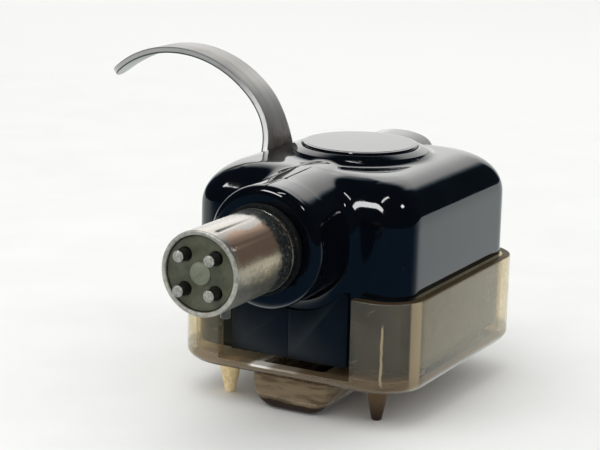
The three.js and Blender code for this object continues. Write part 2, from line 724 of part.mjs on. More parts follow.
// The middle line of the strip, from the foot to the tip: each station has its place, its direction
// and the length run since the strip left the straight part.
function liftLine() {
  const stations = [];
  const arc = ({ x, z, radius, from, angles, turn, run }) => {
    for (const swept of angles) {
      const angle = THREE.MathUtils.degToRad(from + swept);
      stations.push({
        x: x + radius * Math.cos(angle),
        z: z + radius * Math.sin(angle),
        alongX: -turn * Math.sin(angle),
        alongZ: turn * Math.cos(angle),
        run: run + radius * THREE.MathUtils.degToRad(Math.max(swept, 0)),
      });
    }
  };
  const even = (sweep, steps) => Array.from({ length: steps + 1 }, (_, i) => (sweep * i) / steps);
  stations.push({ x: LIFT_FOOT_END_X, z: LIFT_FOOT_Z, alongX: -1, alongZ: 0, run: 0 });
  arc({
    x: LIFT_STRIP_X + LIFT_FOOT_RADIUS,
    z: LIFT_FOOT_Z + LIFT_FOOT_RADIUS,
    radius: LIFT_FOOT_RADIUS,
    from: 270,
    angles: even(-90, EDGE_STEPS),
    turn: -1,
    run: 0,
  });
  const first = {
    x: LIFT_STRIP_X - LIFT_FIRST_RADIUS,
    z: LIFT_FOOT_Z + LIFT_STRAIGHT,
    radius: LIFT_FIRST_RADIUS,
    from: 0,
    angles: even(LIFT_FIRST_ANGLE, LIFT_STEPS),
    turn: 1,
    run: 0,
  };
  const joint = THREE.MathUtils.degToRad(LIFT_FIRST_ANGLE);
  const grown = LIFT_FIRST_RADIUS - LIFT_SECOND_RADIUS;
  const tipSweep = THREE.MathUtils.radToDeg(LIFT_TIP_ROUND / LIFT_SECOND_RADIUS);
  const tipAngles = even(90, EDGE_STEPS).map(
    (angle) => LIFT_SECOND_ANGLE - tipSweep * (1 - Math.sin(THREE.MathUtils.degToRad(angle))),
  );
  arc(first);
  arc({
    ...first,
    x: first.x + grown * Math.cos(joint),
    z: first.z + grown * Math.sin(joint),
    radius: LIFT_SECOND_RADIUS,
    from: LIFT_FIRST_ANGLE,
    angles: [...even(LIFT_SECOND_ANGLE - tipSweep, LIFT_STEPS).slice(1), ...tipAngles.slice(1)],
    run: LIFT_FIRST_RADIUS * joint,
  });
  return stations;
}

// The strip's width after a length run: wide at the root, then a waist, then a taper to a round tip.
function liftWidth(run, end) {
  const flare = Math.max(0, 1 - run / LIFT_FLARE_LENGTH);
  const taper = Math.max(0, 1 - (end - run) / LIFT_TAPER_LENGTH);
  const wide = (LIFT_ROOT_WIDTH - LIFT_WAIST_WIDTH) * flare ** 2;
  const narrow = (LIFT_WAIST_WIDTH - LIFT_TIP_WIDTH) * taper ** 2;
  const round = Math.max(0, 1 - (end - run) / LIFT_TIP_ROUND);
  const rounded = (LIFT_TIP_WIDTH - LIFT_TIP_EDGE) * (1 - Math.sqrt(1 - round ** 2));
  return LIFT_WAIST_WIDTH + wide - narrow - rounded;
}

function fingerLift() {
  const stations = liftLine();
  const end = stations[stations.length - 1].run;
  const rings = stations.map(({ x, z, alongX, alongZ, run }) => {
    const half = liftWidth(run, end) / 2;
    const point = (across, out) =>
      new THREE.Vector3(
        x + (out * alongZ * LIFT_THICKNESS) / 2,
        LIFT_Y + across * half,
        z - (out * alongX * LIFT_THICKNESS) / 2,
      );
    return [point(-1, -1), point(-1, 1), point(1, 1), point(1, -1)];
  });
  const holeRadius = SMALL_SCREW_RADIUS + FIT_GAP;
  const from = LIFT_FOOT_Z - OVERRUN;
  return cut(lofted(rings), rod(holeRadius, from, LIFT_FOOT_Z + OVERRUN, "z", [LIFT_POST_X, LIFT_Y, 0]));
}

function liftScrew() {
  const screw = slottedScrew(SMALL_SCREW_RADIUS, SMALL_SCREW_REACH, SMALL_HEAD_RADIUS, SMALL_HEAD_HEIGHT);
  const seat = LIFT_FOOT_Z - LIFT_THICKNESS / 2 - SEAT_GAP;
  return screw.rotate([180, 0, 0]).translate([LIFT_POST_X, LIFT_Y, seat]);
}

// Motor, in the tilted group: Y runs forwards along the cantilever, Z up from the armature's middle.

const REAR_YOKE_FRONT = YOKE_THICKNESS - MOTOR_DEPTH;
const FRONT_YOKE_REAR = -YOKE_THICKNESS / 2;
const atArmature = [0, 0, 0];

function armature() {
  const half = ARMATURE_BAR / 2;
  const deep = ARMATURE_THICKNESS / 2;
  return join(
    block([-ARMATURE_ARM, -deep, -half], [ARMATURE_ARM, deep, half]),
    block([-half, -deep, -ARMATURE_ARM], [half, deep, ARMATURE_ARM]),
  );
}

// One winding round the arm that points along +X, turned about Y to the other arms.
function coil(quarter) {
  const end = ARMATURE_ARM - FIT_GAP;
  const bar = ARMATURE_BAR / 2 + SEAT_GAP;
  const deep = ARMATURE_THICKNESS / 2 + SEAT_GAP;
  const outside = block(
    [end - COIL_LENGTH, -deep - COIL_BUILD, -bar - COIL_BUILD],
    [end, deep + COIL_BUILD, bar + COIL_BUILD],
  );
  const hole = block([end - COIL_LENGTH - OVERRUN, -deep, -bar], [end + OVERRUN, deep, bar]);
  return cut(outside, hole).rotate([0, 90 * quarter, 0]);
}

function damper() {
  const rear = -ARMATURE_THICKNESS / 2 - COIL_BUILD - SWING_GAP - DAMPER_THICKNESS;
  const disc = rod(DAMPER_RADIUS, rear, rear + DAMPER_THICKNESS, "y", atArmature);
  return cut(disc, rod(DAMPER_BORE_RADIUS, rear - OVERRUN, 0, "y", atArmature, TINY_SIDES));
}

function polePiece() {
  const front = -ARMATURE_THICKNESS / 2 - COIL_BUILD - 2 * SWING_GAP - DAMPER_THICKNESS;
  const pin = rod(POLE_RADIUS, REAR_YOKE_FRONT + SEAT_GAP, front, "y", atArmature);
  return cut(pin, rod(POLE_BORE_RADIUS, -MOTOR_DEPTH, 0, "y", atArmature, TINY_SIDES));
}

function suspensionWire() {
  const front = -ARMATURE_THICKNESS / 2 - SWING_GAP;
  return rod(WIRE_RADIUS, FIT_GAP - MOTOR_DEPTH, front, "y", atArmature, TINY_SIDES);
}

function rearYoke() {
  const half = MOTOR_WIDTH / 2;
  const plate = block([-half, -MOTOR_DEPTH, -REAR_YOKE_BELOW], [half, REAR_YOKE_FRONT, MOTOR_HEIGHT]);
  const clampY = REAR_YOKE_FRONT - YOKE_THICKNESS / 2;
  return cut(
    plate,
    rod(POLE_BORE_RADIUS, -MOTOR_DEPTH - OVERRUN, 0, "y", atArmature, TINY_SIDES),
    rod(CLAMP_SCREW_RADIUS + FIT_GAP, 0, half + OVERRUN, "x", [0, clampY, 0], TINY_SIDES),
  );
}

function wireClampScrew() {
  const from = WIRE_RADIUS + FIT_GAP;
  const to = MOTOR_WIDTH / 2 - CLAMP_SCREW_SUNK;
  const clampY = REAR_YOKE_FRONT - YOKE_THICKNESS / 2;
  return rod(CLAMP_SCREW_RADIUS, from, to, "x", [0, clampY, 0], TINY_SIDES);
}

function frontYoke() {
  const half = MOTOR_WIDTH / 2;
  const rear = FRONT_YOKE_REAR;
  const front = rear + YOKE_THICKNESS;
  return cut(
    block([-half, rear, -FRONT_YOKE_BELOW], [half, front, MOTOR_HEIGHT]),
    rod(NOTCH_RADIUS, rear - OVERRUN, front + OVERRUN, "y", atArmature),
    block([-NOTCH_RADIUS, rear - OVERRUN, -FRONT_YOKE_BELOW - OVERRUN], [NOTCH_RADIUS, front + OVERRUN, 0]),
  );
}

function magnet() {
  const half = MOTOR_WIDTH / 2;
  return block(
    [-half, REAR_YOKE_FRONT + SEAT_GAP, MOTOR_HEIGHT - MAGNET_HEIGHT],
    [half, FRONT_YOKE_REAR - SEAT_GAP, MOTOR_HEIGHT],
  );
}

function cantilever() {
  const from = ARMATURE_THICKNESS / 2 + FIT_GAP;
  const outline = [
    [0, from],
    [CANTILEVER_RADIUS, from],
    [CANTILEVER_RADIUS, CANTILEVER_LENGTH / 2],
    [CANTILEVER_TIP_RADIUS, CANTILEVER_LENGTH],
    [0, CANTILEVER_LENGTH],
  ];
  const hole = rod(
    STYLUS_SHANK_RADIUS + SEAT_GAP,
    -CANTILEVER_RADIUS - OVERRUN,
    0,
    "z",
    [0, CANTILEVER_LENGTH - STYLUS_SETBACK, 0],
    TINY_SIDES,
  );
  return cut(turned(outline, "y", atArmature, TINY_SIDES), hole);
}

function stylusTip() {
  const shankEnd = -CANTILEVER_TIP_RADIUS / 2 - STYLUS_SHANK_LENGTH;
  const outline = [
    [0, shankEnd - STYLUS_CONE_LENGTH],
    [STYLUS_TIP_RADIUS, shankEnd - STYLUS_CONE_LENGTH],
    [STYLUS_SHANK_RADIUS, shankEnd],
    [STYLUS_SHANK_RADIUS, -FIT_GAP],
    [0, -FIT_GAP],
  ];
  return turned(outline, "z", [0, CANTILEVER_LENGTH - STYLUS_SETBACK, 0], TINY_SIDES);
}

// Carrier: a wedge under the pad that holds the motor at its tilt, with a leg for the terminal board.

// The place in the shell's frame of a point in the motor's frame.
function fromMotor(y, z) {
  return [
    ARMATURE_Y + y * Math.cos(TILT) + z * Math.sin(TILT),
    ARMATURE_Z - y * Math.sin(TILT) + z * Math.cos(TILT),
  ];
}

const CARRIER_TOP_Z = PAD_Z - FIT_GAP;
const [MOTOR_TOP_REAR_Y, MOTOR_TOP_REAR_Z] = fromMotor(-MOTOR_DEPTH, MOTOR_HEIGHT + FIT_GAP);
const [MOTOR_TOP_FRONT_Y] = fromMotor(YOKE_THICKNESS / 2, MOTOR_HEIGHT + FIT_GAP);
const CARRIER_REAR_Y = MOTOR_TOP_REAR_Y - CARRIER_REAR_OVERHANG;
const CARRIER_FRONT_Y = MOTOR_TOP_FRONT_Y + CARRIER_FRONT_OVERHANG;
const TERMINAL_PIN_Z = CARRIER_TOP_Z - TERMINAL_BOARD_DROP - TERMINAL_BOARD_HEIGHT / 2;
const TERMINAL_BOARD_Y = CARRIER_REAR_Y - SEAT_GAP - TERMINAL_BOARD_THICKNESS;

function motorCarrier() {
  const underside = (y) => MOTOR_TOP_REAR_Z - (y - MOTOR_TOP_REAR_Y) * Math.tan(TILT);
  const legFront = CARRIER_REAR_Y + CARRIER_LEG;
  const outline = [
    [CARRIER_REAR_Y, CARRIER_TOP_Z],
    [CARRIER_REAR_Y, MOTOR_TOP_REAR_Z - CARRIER_LEG_DROP],
    [legFront, MOTOR_TOP_REAR_Z - CARRIER_LEG_DROP],
    [legFront, MOTOR_TOP_REAR_Z],
    [MOTOR_TOP_REAR_Y, MOTOR_TOP_REAR_Z],
    [CARRIER_FRONT_Y, underside(CARRIER_FRONT_Y)],
    [CARRIER_FRONT_Y, CARRIER_TOP_Z],
  ];
  const side = new THREE.Shape(outline.map(([y, z]) => new THREE.Vector2(y, z)));
  const geometry = new THREE.ExtrudeGeometry(side, { depth: 2 * CARRIER_HALF_WIDTH, bevelEnabled: false });
  const axes = new THREE.Matrix4().makeBasis(
    new THREE.Vector3(0, 1, 0),
    new THREE.Vector3(0, 0, 1),
    new THREE.Vector3(1, 0, 0),
  );
  geometry.applyMatrix4(axes).translate(-CARRIER_HALF_WIDTH, 0, 0);
  const holeEnd = PAD_Z - MOUNTING_SCREW_GRIP - FIT_GAP;
  return cut(
    solid(geometry),
    rod(MOUNTING_SCREW_RADIUS + FIT_GAP, holeEnd, CARRIER_TOP_Z + OVERRUN, "z", onBossAxis),
  );
}

const terminalPlaces = [0, 1, 2, 3].map((i) => [(i - 3 / 2) * TERMINAL_PIN_PITCH, 0, TERMINAL_PIN_Z]);

function terminalBoard() {
  const board = block(
    [-CARRIER_HALF_WIDTH, TERMINAL_BOARD_Y, TERMINAL_PIN_Z - TERMINAL_BOARD_HEIGHT / 2],
    [
      CARRIER_HALF_WIDTH,
      TERMINAL_BOARD_Y + TERMINAL_BOARD_THICKNESS,
      TERMINAL_PIN_Z + TERMINAL_BOARD_HEIGHT / 2,
    ],
  );
  const radius = TERMINAL_PIN_RADIUS + FIT_GAP;
  const from = TERMINAL_BOARD_Y - OVERRUN;
  const holes = terminalPlaces.map((place) => rod(radius, from, from + 2 * OVERRUN, "y", place, TINY_SIDES));
  return cut(board, ...holes);
}

function terminalPin(place) {
  const from = TERMINAL_BOARD_Y - TERMINAL_PIN_STAND;
  return rod(TERMINAL_PIN_RADIUS, from, TERMINAL_BOARD_Y + TERMINAL_BOARD_THICKNESS, "y", place, TINY_SIDES);
}

// A lead from the tail of a contact pin, straight down the sleeve and across to its terminal pin.
function leadWire([pinX, , pinZ], [terminalX, , terminalZ]) {
  const startY = INSULATOR_END_Y + PIN_TAIL + LEAD_END_GAP;
  const sleeveEndY = COLLAR_Y + SLEEVE_INSET;
  const endY = TERMINAL_BOARD_Y - TERMINAL_PIN_STAND - LEAD_END_GAP;
  const places = [
    [pinX, startY, pinZ],
    [pinX, (startY + sleeveEndY) / 2, pinZ],
    [pinX, sleeveEndY - LEAD_BEND, pinZ],
    [(pinX + terminalX) / 2, (sleeveEndY + endY) / 2, (pinZ + terminalZ) / 2],
    [terminalX, endY - LEAD_BEND / 2, terminalZ],
    [terminalX, endY, terminalZ],
  ];
  return bentRod(places.map((place) => new THREE.Vector3(...place)), LEAD_RADIUS, 3 * EDGE_STEPS);
}

function balanceWeight() {
  const rear = INSIDE_REAR_Y + WEIGHT_EDGE;
  const bottom = COVER_TOP_Z + FIT_GAP;
  return roundedBox({
    halfWidth: COVER_POST_X - COVER_POST_RADIUS - WEIGHT_POST_GAP,
    rear,
    front: rear + WEIGHT_LENGTH,
    bottom,
    top: bottom + WEIGHT_HEIGHT,
    corner: WEIGHT_EDGE,
    bottomRadius: WEIGHT_EDGE,
    topRadius: WEIGHT_EDGE,
  });
}

function bottomCover() {
  const bottom = COVER_TOP_Z - COVER_THICKNESS;
  const halfWidth = SHELL_WIDTH / 2 - SHELL_WALL - COVER_CLEARANCE;
  const rear = INSIDE_REAR_Y + COVER_CLEARANCE;
  const front = INSIDE_FRONT_Y - COVER_CLEARANCE;
  const corner = SHELL_CORNER_RADIUS - SHELL_WALL;
  const plate = lofted([
    levelRing(halfWidth, rear, front, corner, bottom),
    levelRing(halfWidth, rear, front, corner, COVER_TOP_Z - FIT_GAP),
  ]);
  const windowHole = block(
    [-COVER_WINDOW_WIDTH / 2, rear + COVER_WINDOW_REAR, bottom - OVERRUN],
    [COVER_WINDOW_WIDTH / 2, front - COVER_WINDOW_FRONT, COVER_TOP_Z + OVERRUN],
  );
  const holes = [-1, 1].map((side) => {
    const outline = [
      [0, bottom - OVERRUN],
      [SMALL_HEAD_RADIUS + FIT_GAP, bottom - OVERRUN],
      [SMALL_HEAD_RADIUS + FIT_GAP, bottom + COVER_THICKNESS / 2],
      [SMALL_SCREW_RADIUS + FIT_GAP, bottom + COVER_THICKNESS / 2],
      [SMALL_SCREW_RADIUS + FIT_GAP, COVER_TOP_Z + OVERRUN],
      [0, COVER_TOP_Z + OVERRUN],
    ];
    return turned(outline, "z", [side * COVER_POST_X, COVER_POST_Y, 0]);
  });
  return cut(plate, windowHole, ...holes);
}

function coverScrew(side) {
  const seat = COVER_TOP_Z - COVER_THICKNESS / 2 - SEAT_GAP;
  const length = COVER_SCREW_REACH - FIT_GAP;
  const head = COVER_THICKNESS / 2 + COVER_SUNK;
  const screw = slottedScrew(SMALL_SCREW_RADIUS, length, SMALL_HEAD_RADIUS, head);
  return screw.rotate([180, 0, 0]).translate([side * COVER_POST_X, COVER_POST_Y, seat]);
}

// Stylus guard: a tray round the lower half of the shell, with a cut for the neck, two pegs and a boat-shaped trough.

function guardTray() {
  const outside = {
    halfWidth: GUARD_HALF_WIDTH,
    rear: GUARD_REAR_Y,
    front: GUARD_FRONT_Y,
    bottom: GUARD_BOTTOM_Z,
    top: GUARD_TOP_Z,
    corner: GUARD_CORNER_RADIUS,
    bottomRadius: GUARD_FOOT_RADIUS,
    topRadius: GUARD_LIP_RADIUS,
  };
  const inside = {
    halfWidth: GUARD_HALF_WIDTH - GUARD_WALL,
    rear: GUARD_REAR_Y + GUARD_WALL,
    front: GUARD_FRONT_Y - GUARD_WALL,
    bottom: GUARD_FLOOR_TOP_Z,
    top: GUARD_TOP_Z + OVERRUN,
    corner: GUARD_CORNER_RADIUS - GUARD_WALL,
    bottomRadius: GUARD_LIP_RADIUS,
    topRadius: 0,
  };
  const neckCut = block(
    [
      GUARD_CUT_OFFSET - GUARD_CUT_WIDTH / 2,
      GUARD_REAR_Y - OVERRUN,
      GUARD_FLOOR_TOP_Z + GUARD_CUT_SILL,
    ],
    [GUARD_CUT_OFFSET + GUARD_CUT_WIDTH / 2, SHELL_REAR_Y, GUARD_TOP_Z + OVERRUN],
  );
  return cut(roundedBox(outside), roundedBox(inside), neckCut);
}

// The rails on the tray's floor that the shell's side walls stand on.
function guardRail(side) {
  const wall = GUARD_HALF_WIDTH - GUARD_WALL / 2;
  const inner = SHELL_WIDTH / 2 - RAIL_WIDTH;
  return block(
    [side > 0 ? inner : -wall, SHELL_MID_Y - RAIL_LENGTH / 2, GUARD_FLOOR_TOP_Z - GUARD_FLOOR / 2],
    [side > 0 ? wall : -inner, SHELL_MID_Y + RAIL_LENGTH / 2, SHELL_BOTTOM_Z - FIT_GAP],
  );
}

function peg(side) {
  const outline = [
    [0, 0],
    [PEG_TIP_RADIUS - PEG_TIP_EDGE, 0],
    [PEG_TIP_RADIUS, PEG_TIP_EDGE],
    [PEG_BASE_RADIUS, GUARD_BOTTOM_Z],
    [PEG_BASE_RADIUS, GUARD_BOTTOM_Z + GUARD_FLOOR / 2],
    [0, GUARD_BOTTOM_Z + GUARD_FLOOR / 2],
  ];
  return turned(outline, "z", [(side * PEG_SPACING) / 2, GUARD_REAR_Y + PEG_SETBACK, 0]);
}

// One cross ring of the trough: a flat bottom, round lower sides and walls up to the floor.
function troughRing(y, halfWidth, bottom, top, radius) {
  const points = [new THREE.Vector3(-halfWidth, y, top)];
  for (const [centre, start] of [[radius - halfWidth, 180], [halfWidth - radius, 270]]) {
    for (let i = 0; i <= CORNER_STEPS; i++) {
      const angle = THREE.MathUtils.degToRad(start + (90 * i) / CORNER_STEPS);
      const x = centre + radius * Math.cos(angle);
      points.push(new THREE.Vector3(x, y, bottom + radius + radius * Math.sin(angle)));
    }
  }
  points.push(new THREE.Vector3(halfWidth, y, top));
  return points.reverse();
}

// The trough narrows and rises past its flat stretch; wall is what is taken off for the hollow.
function trough(wall, top) {
  const rear = GUARD_REAR_Y + TROUGH_REAR_SETBACK + wall;
  const front = GUARD_FRONT_Y - TROUGH_FRONT_SETBACK - wall;
  const flatEnd = GUARD_REAR_Y + TROUGH_REAR_SETBACK + TROUGH_FLAT_LENGTH;
  const edge = TROUGH_END_RADIUS - wall / 2;
  const rings = [];
  const ring = (y, inset) => {
    const share = THREE.MathUtils.clamp((y - flatEnd) / (front - flatEnd), 0, 1);
    const narrowing = THREE.MathUtils.clamp((y - rear) / (front - rear), 0, 1);
    const width = TROUGH_WIDTH + (TROUGH_NOSE_WIDTH - TROUGH_WIDTH) * narrowing * narrowing;
    const rise = (GUARD_BOTTOM_Z - TROUGH_NOSE_DEPTH) * share * share;
    const radius = Math.max(TROUGH_SIDE_RADIUS - wall, wall / 2);
    rings.push(troughRing(y, width / 2 - wall - inset, rise + wall + inset, top, radius));
  };
  for (let i = 0; i <= 3; i++) {
    const angle = ((Math.PI / 2) * i) / 3;
    ring(rear + edge * (1 - Math.cos(angle)), edge * (1 - Math.sin(angle)));
  }
  for (let i = 0; i <= EDGE_STEPS; i++) {
    ring(flatEnd + ((front - edge - flatEnd) * i) / EDGE_STEPS, 0);
  }
  for (let i = 1; i <= 3; i++) {
    const angle = ((Math.PI / 2) * i) / 3;
    ring(front - edge * (1 - Math.sin(angle)), edge * (1 - Math.cos(angle)));
  }
  return lofted(rings);
}

function stylusGuard() {
  const joined = join(
    guardTray(),
    guardRail(-1),
    guardRail(1),
    peg(-1),
    peg(1),
    trough(0, GUARD_BOTTOM_Z + GUARD_FLOOR / 2),
  );
  return cut(joined, trough(TROUGH_WALL, GUARD_FLOOR_TOP_Z + OVERRUN));
}

piece("shell", shell(), BLACK_PLASTIC);
piece("top_cap", topCap(), BLACK_PLASTIC);
piece("label_plate", labelPlate(), LABEL_FOIL);
piece("mounting_screw", mountingScrew(), BRASS);
piece("mounting_washer", mountingWasher(), BRASS);
piece("connector_sleeve", connectorSleeve(), NICKEL);
piece("locating_pin", locatingPin(), NICKEL);
piece("collar_gasket", collarGasket(), RUBBER);
piece("connector_insulator", connectorInsulator(), GREY_GREEN);
piece("insulator_rivet", insulatorRivet(), GREY_GREEN);
piece("sleeve_set_screw", sleeveSetScrew(), STEEL);
piece("finger_lift", fingerLift(), STEEL);
piece("lift_screw", liftScrew(), STEEL);
piece("motor_carrier", motorCarrier(), CARRIER_PLASTIC);
piece("terminal_board", terminalBoard(), BOARD_BROWN);
piece("balance_weight", balanceWeight(), BRASS);
piece("bottom_cover", bottomCover(), CARRIER_PLASTIC);
piece("cover_screw_left", coverScrew(-1), STEEL);
piece("cover_screw_right", coverScrew(1), STEEL);
piece("stylus_guard", stylusGuard(), AMBER_PLASTIC);
for (let i = 0; i < pinPlaces.length; i++) {
  piece(`contact_pin_${i + 1}`, contactPin(pinPlaces[i]), NICKEL);
  piece(`terminal_pin_${i + 1}`, terminalPin(terminalPlaces[i]), BRASS);
  piece(`coil_${i + 1}`, coil(i), COPPER, motor);
}
// The left leads go to the left terminals, with the upper pins outermost.
const [outerLeft, innerLeft, innerRight, outerRight] = terminalPlaces;
const terminals = [outerLeft, outerRight, innerLeft, innerRight];
for (let i = 0; i < pinPlaces.length; i++) {
  const wire = leadWire(pinPlaces[i], terminals[i]);
  piece(`lead_wire_${i + 1}`, wire, LEAD_COLOURS[i]);
}
piece("magnet", magnet(), MAGNET_GREY, motor);
piece("rear_yoke", rearYoke(), SOFT_IRON, motor);
piece("front_yoke", frontYoke(), SOFT_IRON, motor);
piece("pole_piece", polePiece(), SOFT_IRON, motor);
piece("armature", armature(), SOFT_IRON, motor);
piece("damper", damper(), RUBBER, motor);
piece("suspension_wire", suspensionWire(), STEEL, motor);
piece("wire_clamp_screw", wireClampScrew(), STEEL, motor);
piece("cantilever", cantilever(), ALUMINIUM, motor);
piece("stylus_tip", stylusTip(), DIAMOND, motor);

export default cartridge;
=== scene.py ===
import json
import math

import bmesh
import bpy
from mathutils import Matrix, Vector


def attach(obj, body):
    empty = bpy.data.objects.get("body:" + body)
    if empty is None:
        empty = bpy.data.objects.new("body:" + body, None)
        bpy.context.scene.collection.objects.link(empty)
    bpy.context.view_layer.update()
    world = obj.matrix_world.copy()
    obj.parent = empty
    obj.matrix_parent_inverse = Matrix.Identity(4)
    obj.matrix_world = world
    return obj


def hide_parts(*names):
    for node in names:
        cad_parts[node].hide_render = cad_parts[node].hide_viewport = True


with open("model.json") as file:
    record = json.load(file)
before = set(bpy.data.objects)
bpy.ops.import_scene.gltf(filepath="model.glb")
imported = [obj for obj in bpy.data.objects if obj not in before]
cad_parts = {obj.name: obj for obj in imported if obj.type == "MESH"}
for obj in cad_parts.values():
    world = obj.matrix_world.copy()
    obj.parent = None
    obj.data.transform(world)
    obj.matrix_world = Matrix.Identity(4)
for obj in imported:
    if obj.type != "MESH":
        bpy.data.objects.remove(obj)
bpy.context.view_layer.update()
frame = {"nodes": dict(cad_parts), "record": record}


# A millimetre and the least distance that counts, both in metres, and the degrees in a radian
MM = 0.001
TOLERANCE = 1e-7
DEGREES = math.degrees(1)

# Sizes in millimetres, in the same frame as the CAD
PLUG_HEIGHT = 17.9
PLUG_AXIS = (0, 0, PLUG_HEIGHT)
BOSS_AXIS = (0, 7.7, 0)
PLUG_END = -23.5
COLLAR = -12.2
SHELL_HALF = 11.9
SHELL_REAR = -5.6
SHELL_FRONT = 19.6
SHELL_BOTTOM = 5.3
ROOF = 23.85
SHELL_WALL = 1.3
CEILING = ROOF - SHELL_WALL
SHELL_CORNER, SHELL_TOP_ROUND, SHELL_FOOT_ROUND = 2.9, 4.4, 0.3
NECK_RADIUS = 6
BOSS_RADIUS, BOSS_TOP = 7.24, 24.7
CAP_RADIUS, CAP_HOLE_RADIUS, CAP_FLOOR = 5.9, 5.95, 23.75
SLEEVE_INSIDE, SLEEVE_OUTSIDE, SLEEVE_FRONT = 3.55, 4.0, -3.6
LOCATING_PIN_Y = -18.7
PIN_SIDE = 1.6
PIN_PLACES = [(x, 0, PLUG_HEIGHT + z) for z in (PIN_SIDE, -PIN_SIDE) for x in (-PIN_SIDE, PIN_SIDE)]
SCREW_HOLE = 0.65
LIFT_SCREW = (-6.64, 7.7, 0)
COVER_SCREWS = [(-8.5, -1.8, 0), (8.5, -1.8, 0)]

# Camera
PHOTO_WIDTH = 600
SENSOR = 36
FOCAL_PIXELS = 1991.67
AZIMUTH, ELEVATION, ROLL = (math.radians(angle) for angle in (28.32, 13.38, 1.40))
PLUG_CENTRE = Vector((0, PLUG_END, PLUG_HEIGHT))
CAMERA_RIGHT, CAMERA_UP, CAMERA_BACK = 9.017, 4.385, 177.27


def add_camera():
    back = Vector((
        math.sin(AZIMUTH) * math.cos(ELEVATION),
        -math.cos(AZIMUTH) * math.cos(ELEVATION),
        math.sin(ELEVATION),
    ))
    level = Vector((math.cos(AZIMUTH), math.sin(AZIMUTH), 0))
    upright = back.cross(level)
    right = level * math.cos(ROLL) + upright * math.sin(ROLL)
    up = upright * math.cos(ROLL) - level * math.sin(ROLL)
    spot = PLUG_CENTRE + right * CAMERA_RIGHT + up * CAMERA_UP + back * CAMERA_BACK
    data = bpy.data.cameras.new("camera")
    data.sensor_fit = "HORIZONTAL"
    data.sensor_width = SENSOR
    data.lens = FOCAL_PIXELS * SENSOR / PHOTO_WIDTH
    data.clip_start = 0.01
    data.clip_end = 20
    camera = bpy.data.objects.new("camera", data)
    bpy.context.scene.collection.objects.link(camera)
    camera.matrix_world = Matrix.Translation(spot * MM) @ Matrix((right, up, back)).transposed().to_4x4()
    bpy.context.scene.camera = camera


add_camera()

# Modelling, as by hand


def vec(x, y, z):
    return Vector((x, y, z)) * MM


def work_on(piece):
    bpy.ops.object.select_all(action="DESELECT")
    piece.select_set(True)
    bpy.context.view_layer.objects.active = piece


def start(name, primitive, **settings):
    """A new primitive as the only selected object, with its place put into its mesh."""
    bpy.ops.object.select_all(action="DESELECT")
    primitive(**settings)
    piece = bpy.context.object
    piece.name = name
    piece.data.name = name
    bpy.ops.object.transform_apply(location=True, rotation=True, scale=True)
    return piece


def edit():
    bpy.ops.object.mode_set(mode="EDIT")


def leave():
    bpy.ops.object.mode_set(mode="OBJECT")


def pick(piece, kind, chosen):
    """In edit mode, selects the verts, edges or faces that pass a test on them."""
    bpy.ops.mesh.select_mode(type=kind)
    bpy.ops.mesh.select_all(action="DESELECT")
    mesh = bmesh.from_edit_mesh(piece.data)
    parts = {"VERT": mesh.verts, "EDGE": mesh.edges, "FACE": mesh.faces}[kind]
    for part in parts:
        if chosen(part):
            part.select_set(True)
    mesh.select_flush_mode()
    bmesh.update_edit_mesh(piece.data)


def extrude(offset=(0, 0, 0)):
    bpy.ops.mesh.extrude_region_move(TRANSFORM_OT_translate={"value": tuple(offset)})


def resize(scale, centre):
    bpy.ops.transform.resize(value=tuple(scale), center_override=tuple(centre))


def swing(angle, axis, centre):
    """Turns the selection right-handed about an axis; the operator itself turns the other way."""
    bpy.ops.transform.rotate(value=-angle, orient_axis=axis, center_override=tuple(centre))


def outward(piece):
    work_on(piece)
    edit()
    bpy.ops.mesh.select_all(action="SELECT")
    bpy.ops.mesh.remove_doubles(threshold=TOLERANCE)
    bpy.ops.mesh.normals_make_consistent(inside=False)
    leave()


def modify(piece, kind, **settings):
    """Adds a modifier and applies it."""
    work_on(piece)
    change = piece.modifiers.new(kind.lower(), kind)
    for name, value in settings.items():
        setattr(change, name, value)
    bpy.ops.object.modifier_apply(modifier=change.name)


def cut(piece, *tools, way="DIFFERENCE"):
    """Takes tools off a piece, or joins them to it, and removes them."""
    for tool in tools:
        modify(piece, "BOOLEAN", object=tool, operation=way, solver="MANIFOLD")
        bpy.data.objects.remove(tool)


def join(piece, *others):
    cut(piece, *others, way="UNION")


def eased(points, steps=4):
    """An outline with rounded corners: a third number in a point is its corner's radius."""
    made = []
    for index, point in enumerate(points):
        here = Vector(point[:2])
        if len(point) < 3:
            made.append(tuple(here))
            continue
        to_last = (Vector(points[index - 1][:2]) - here).normalized()
        to_next = (Vector(points[index + 1][:2]) - here).normalized()
        half = to_last.angle(to_next) / 2
        centre = here + (to_last + to_next).normalized() * point[2] / math.sin(half)
        reach = point[2] / math.tan(half)
        first = here + to_last * reach - centre
        last = here + to_next * reach - centre
        sweep = math.atan2(first.x * last.y - first.y * last.x, first.dot(last))
        for step in range(steps + 1):
            turn = Matrix.Rotation(sweep * step / steps, 2)
            made.append(tuple(centre + turn @ first))
    return made


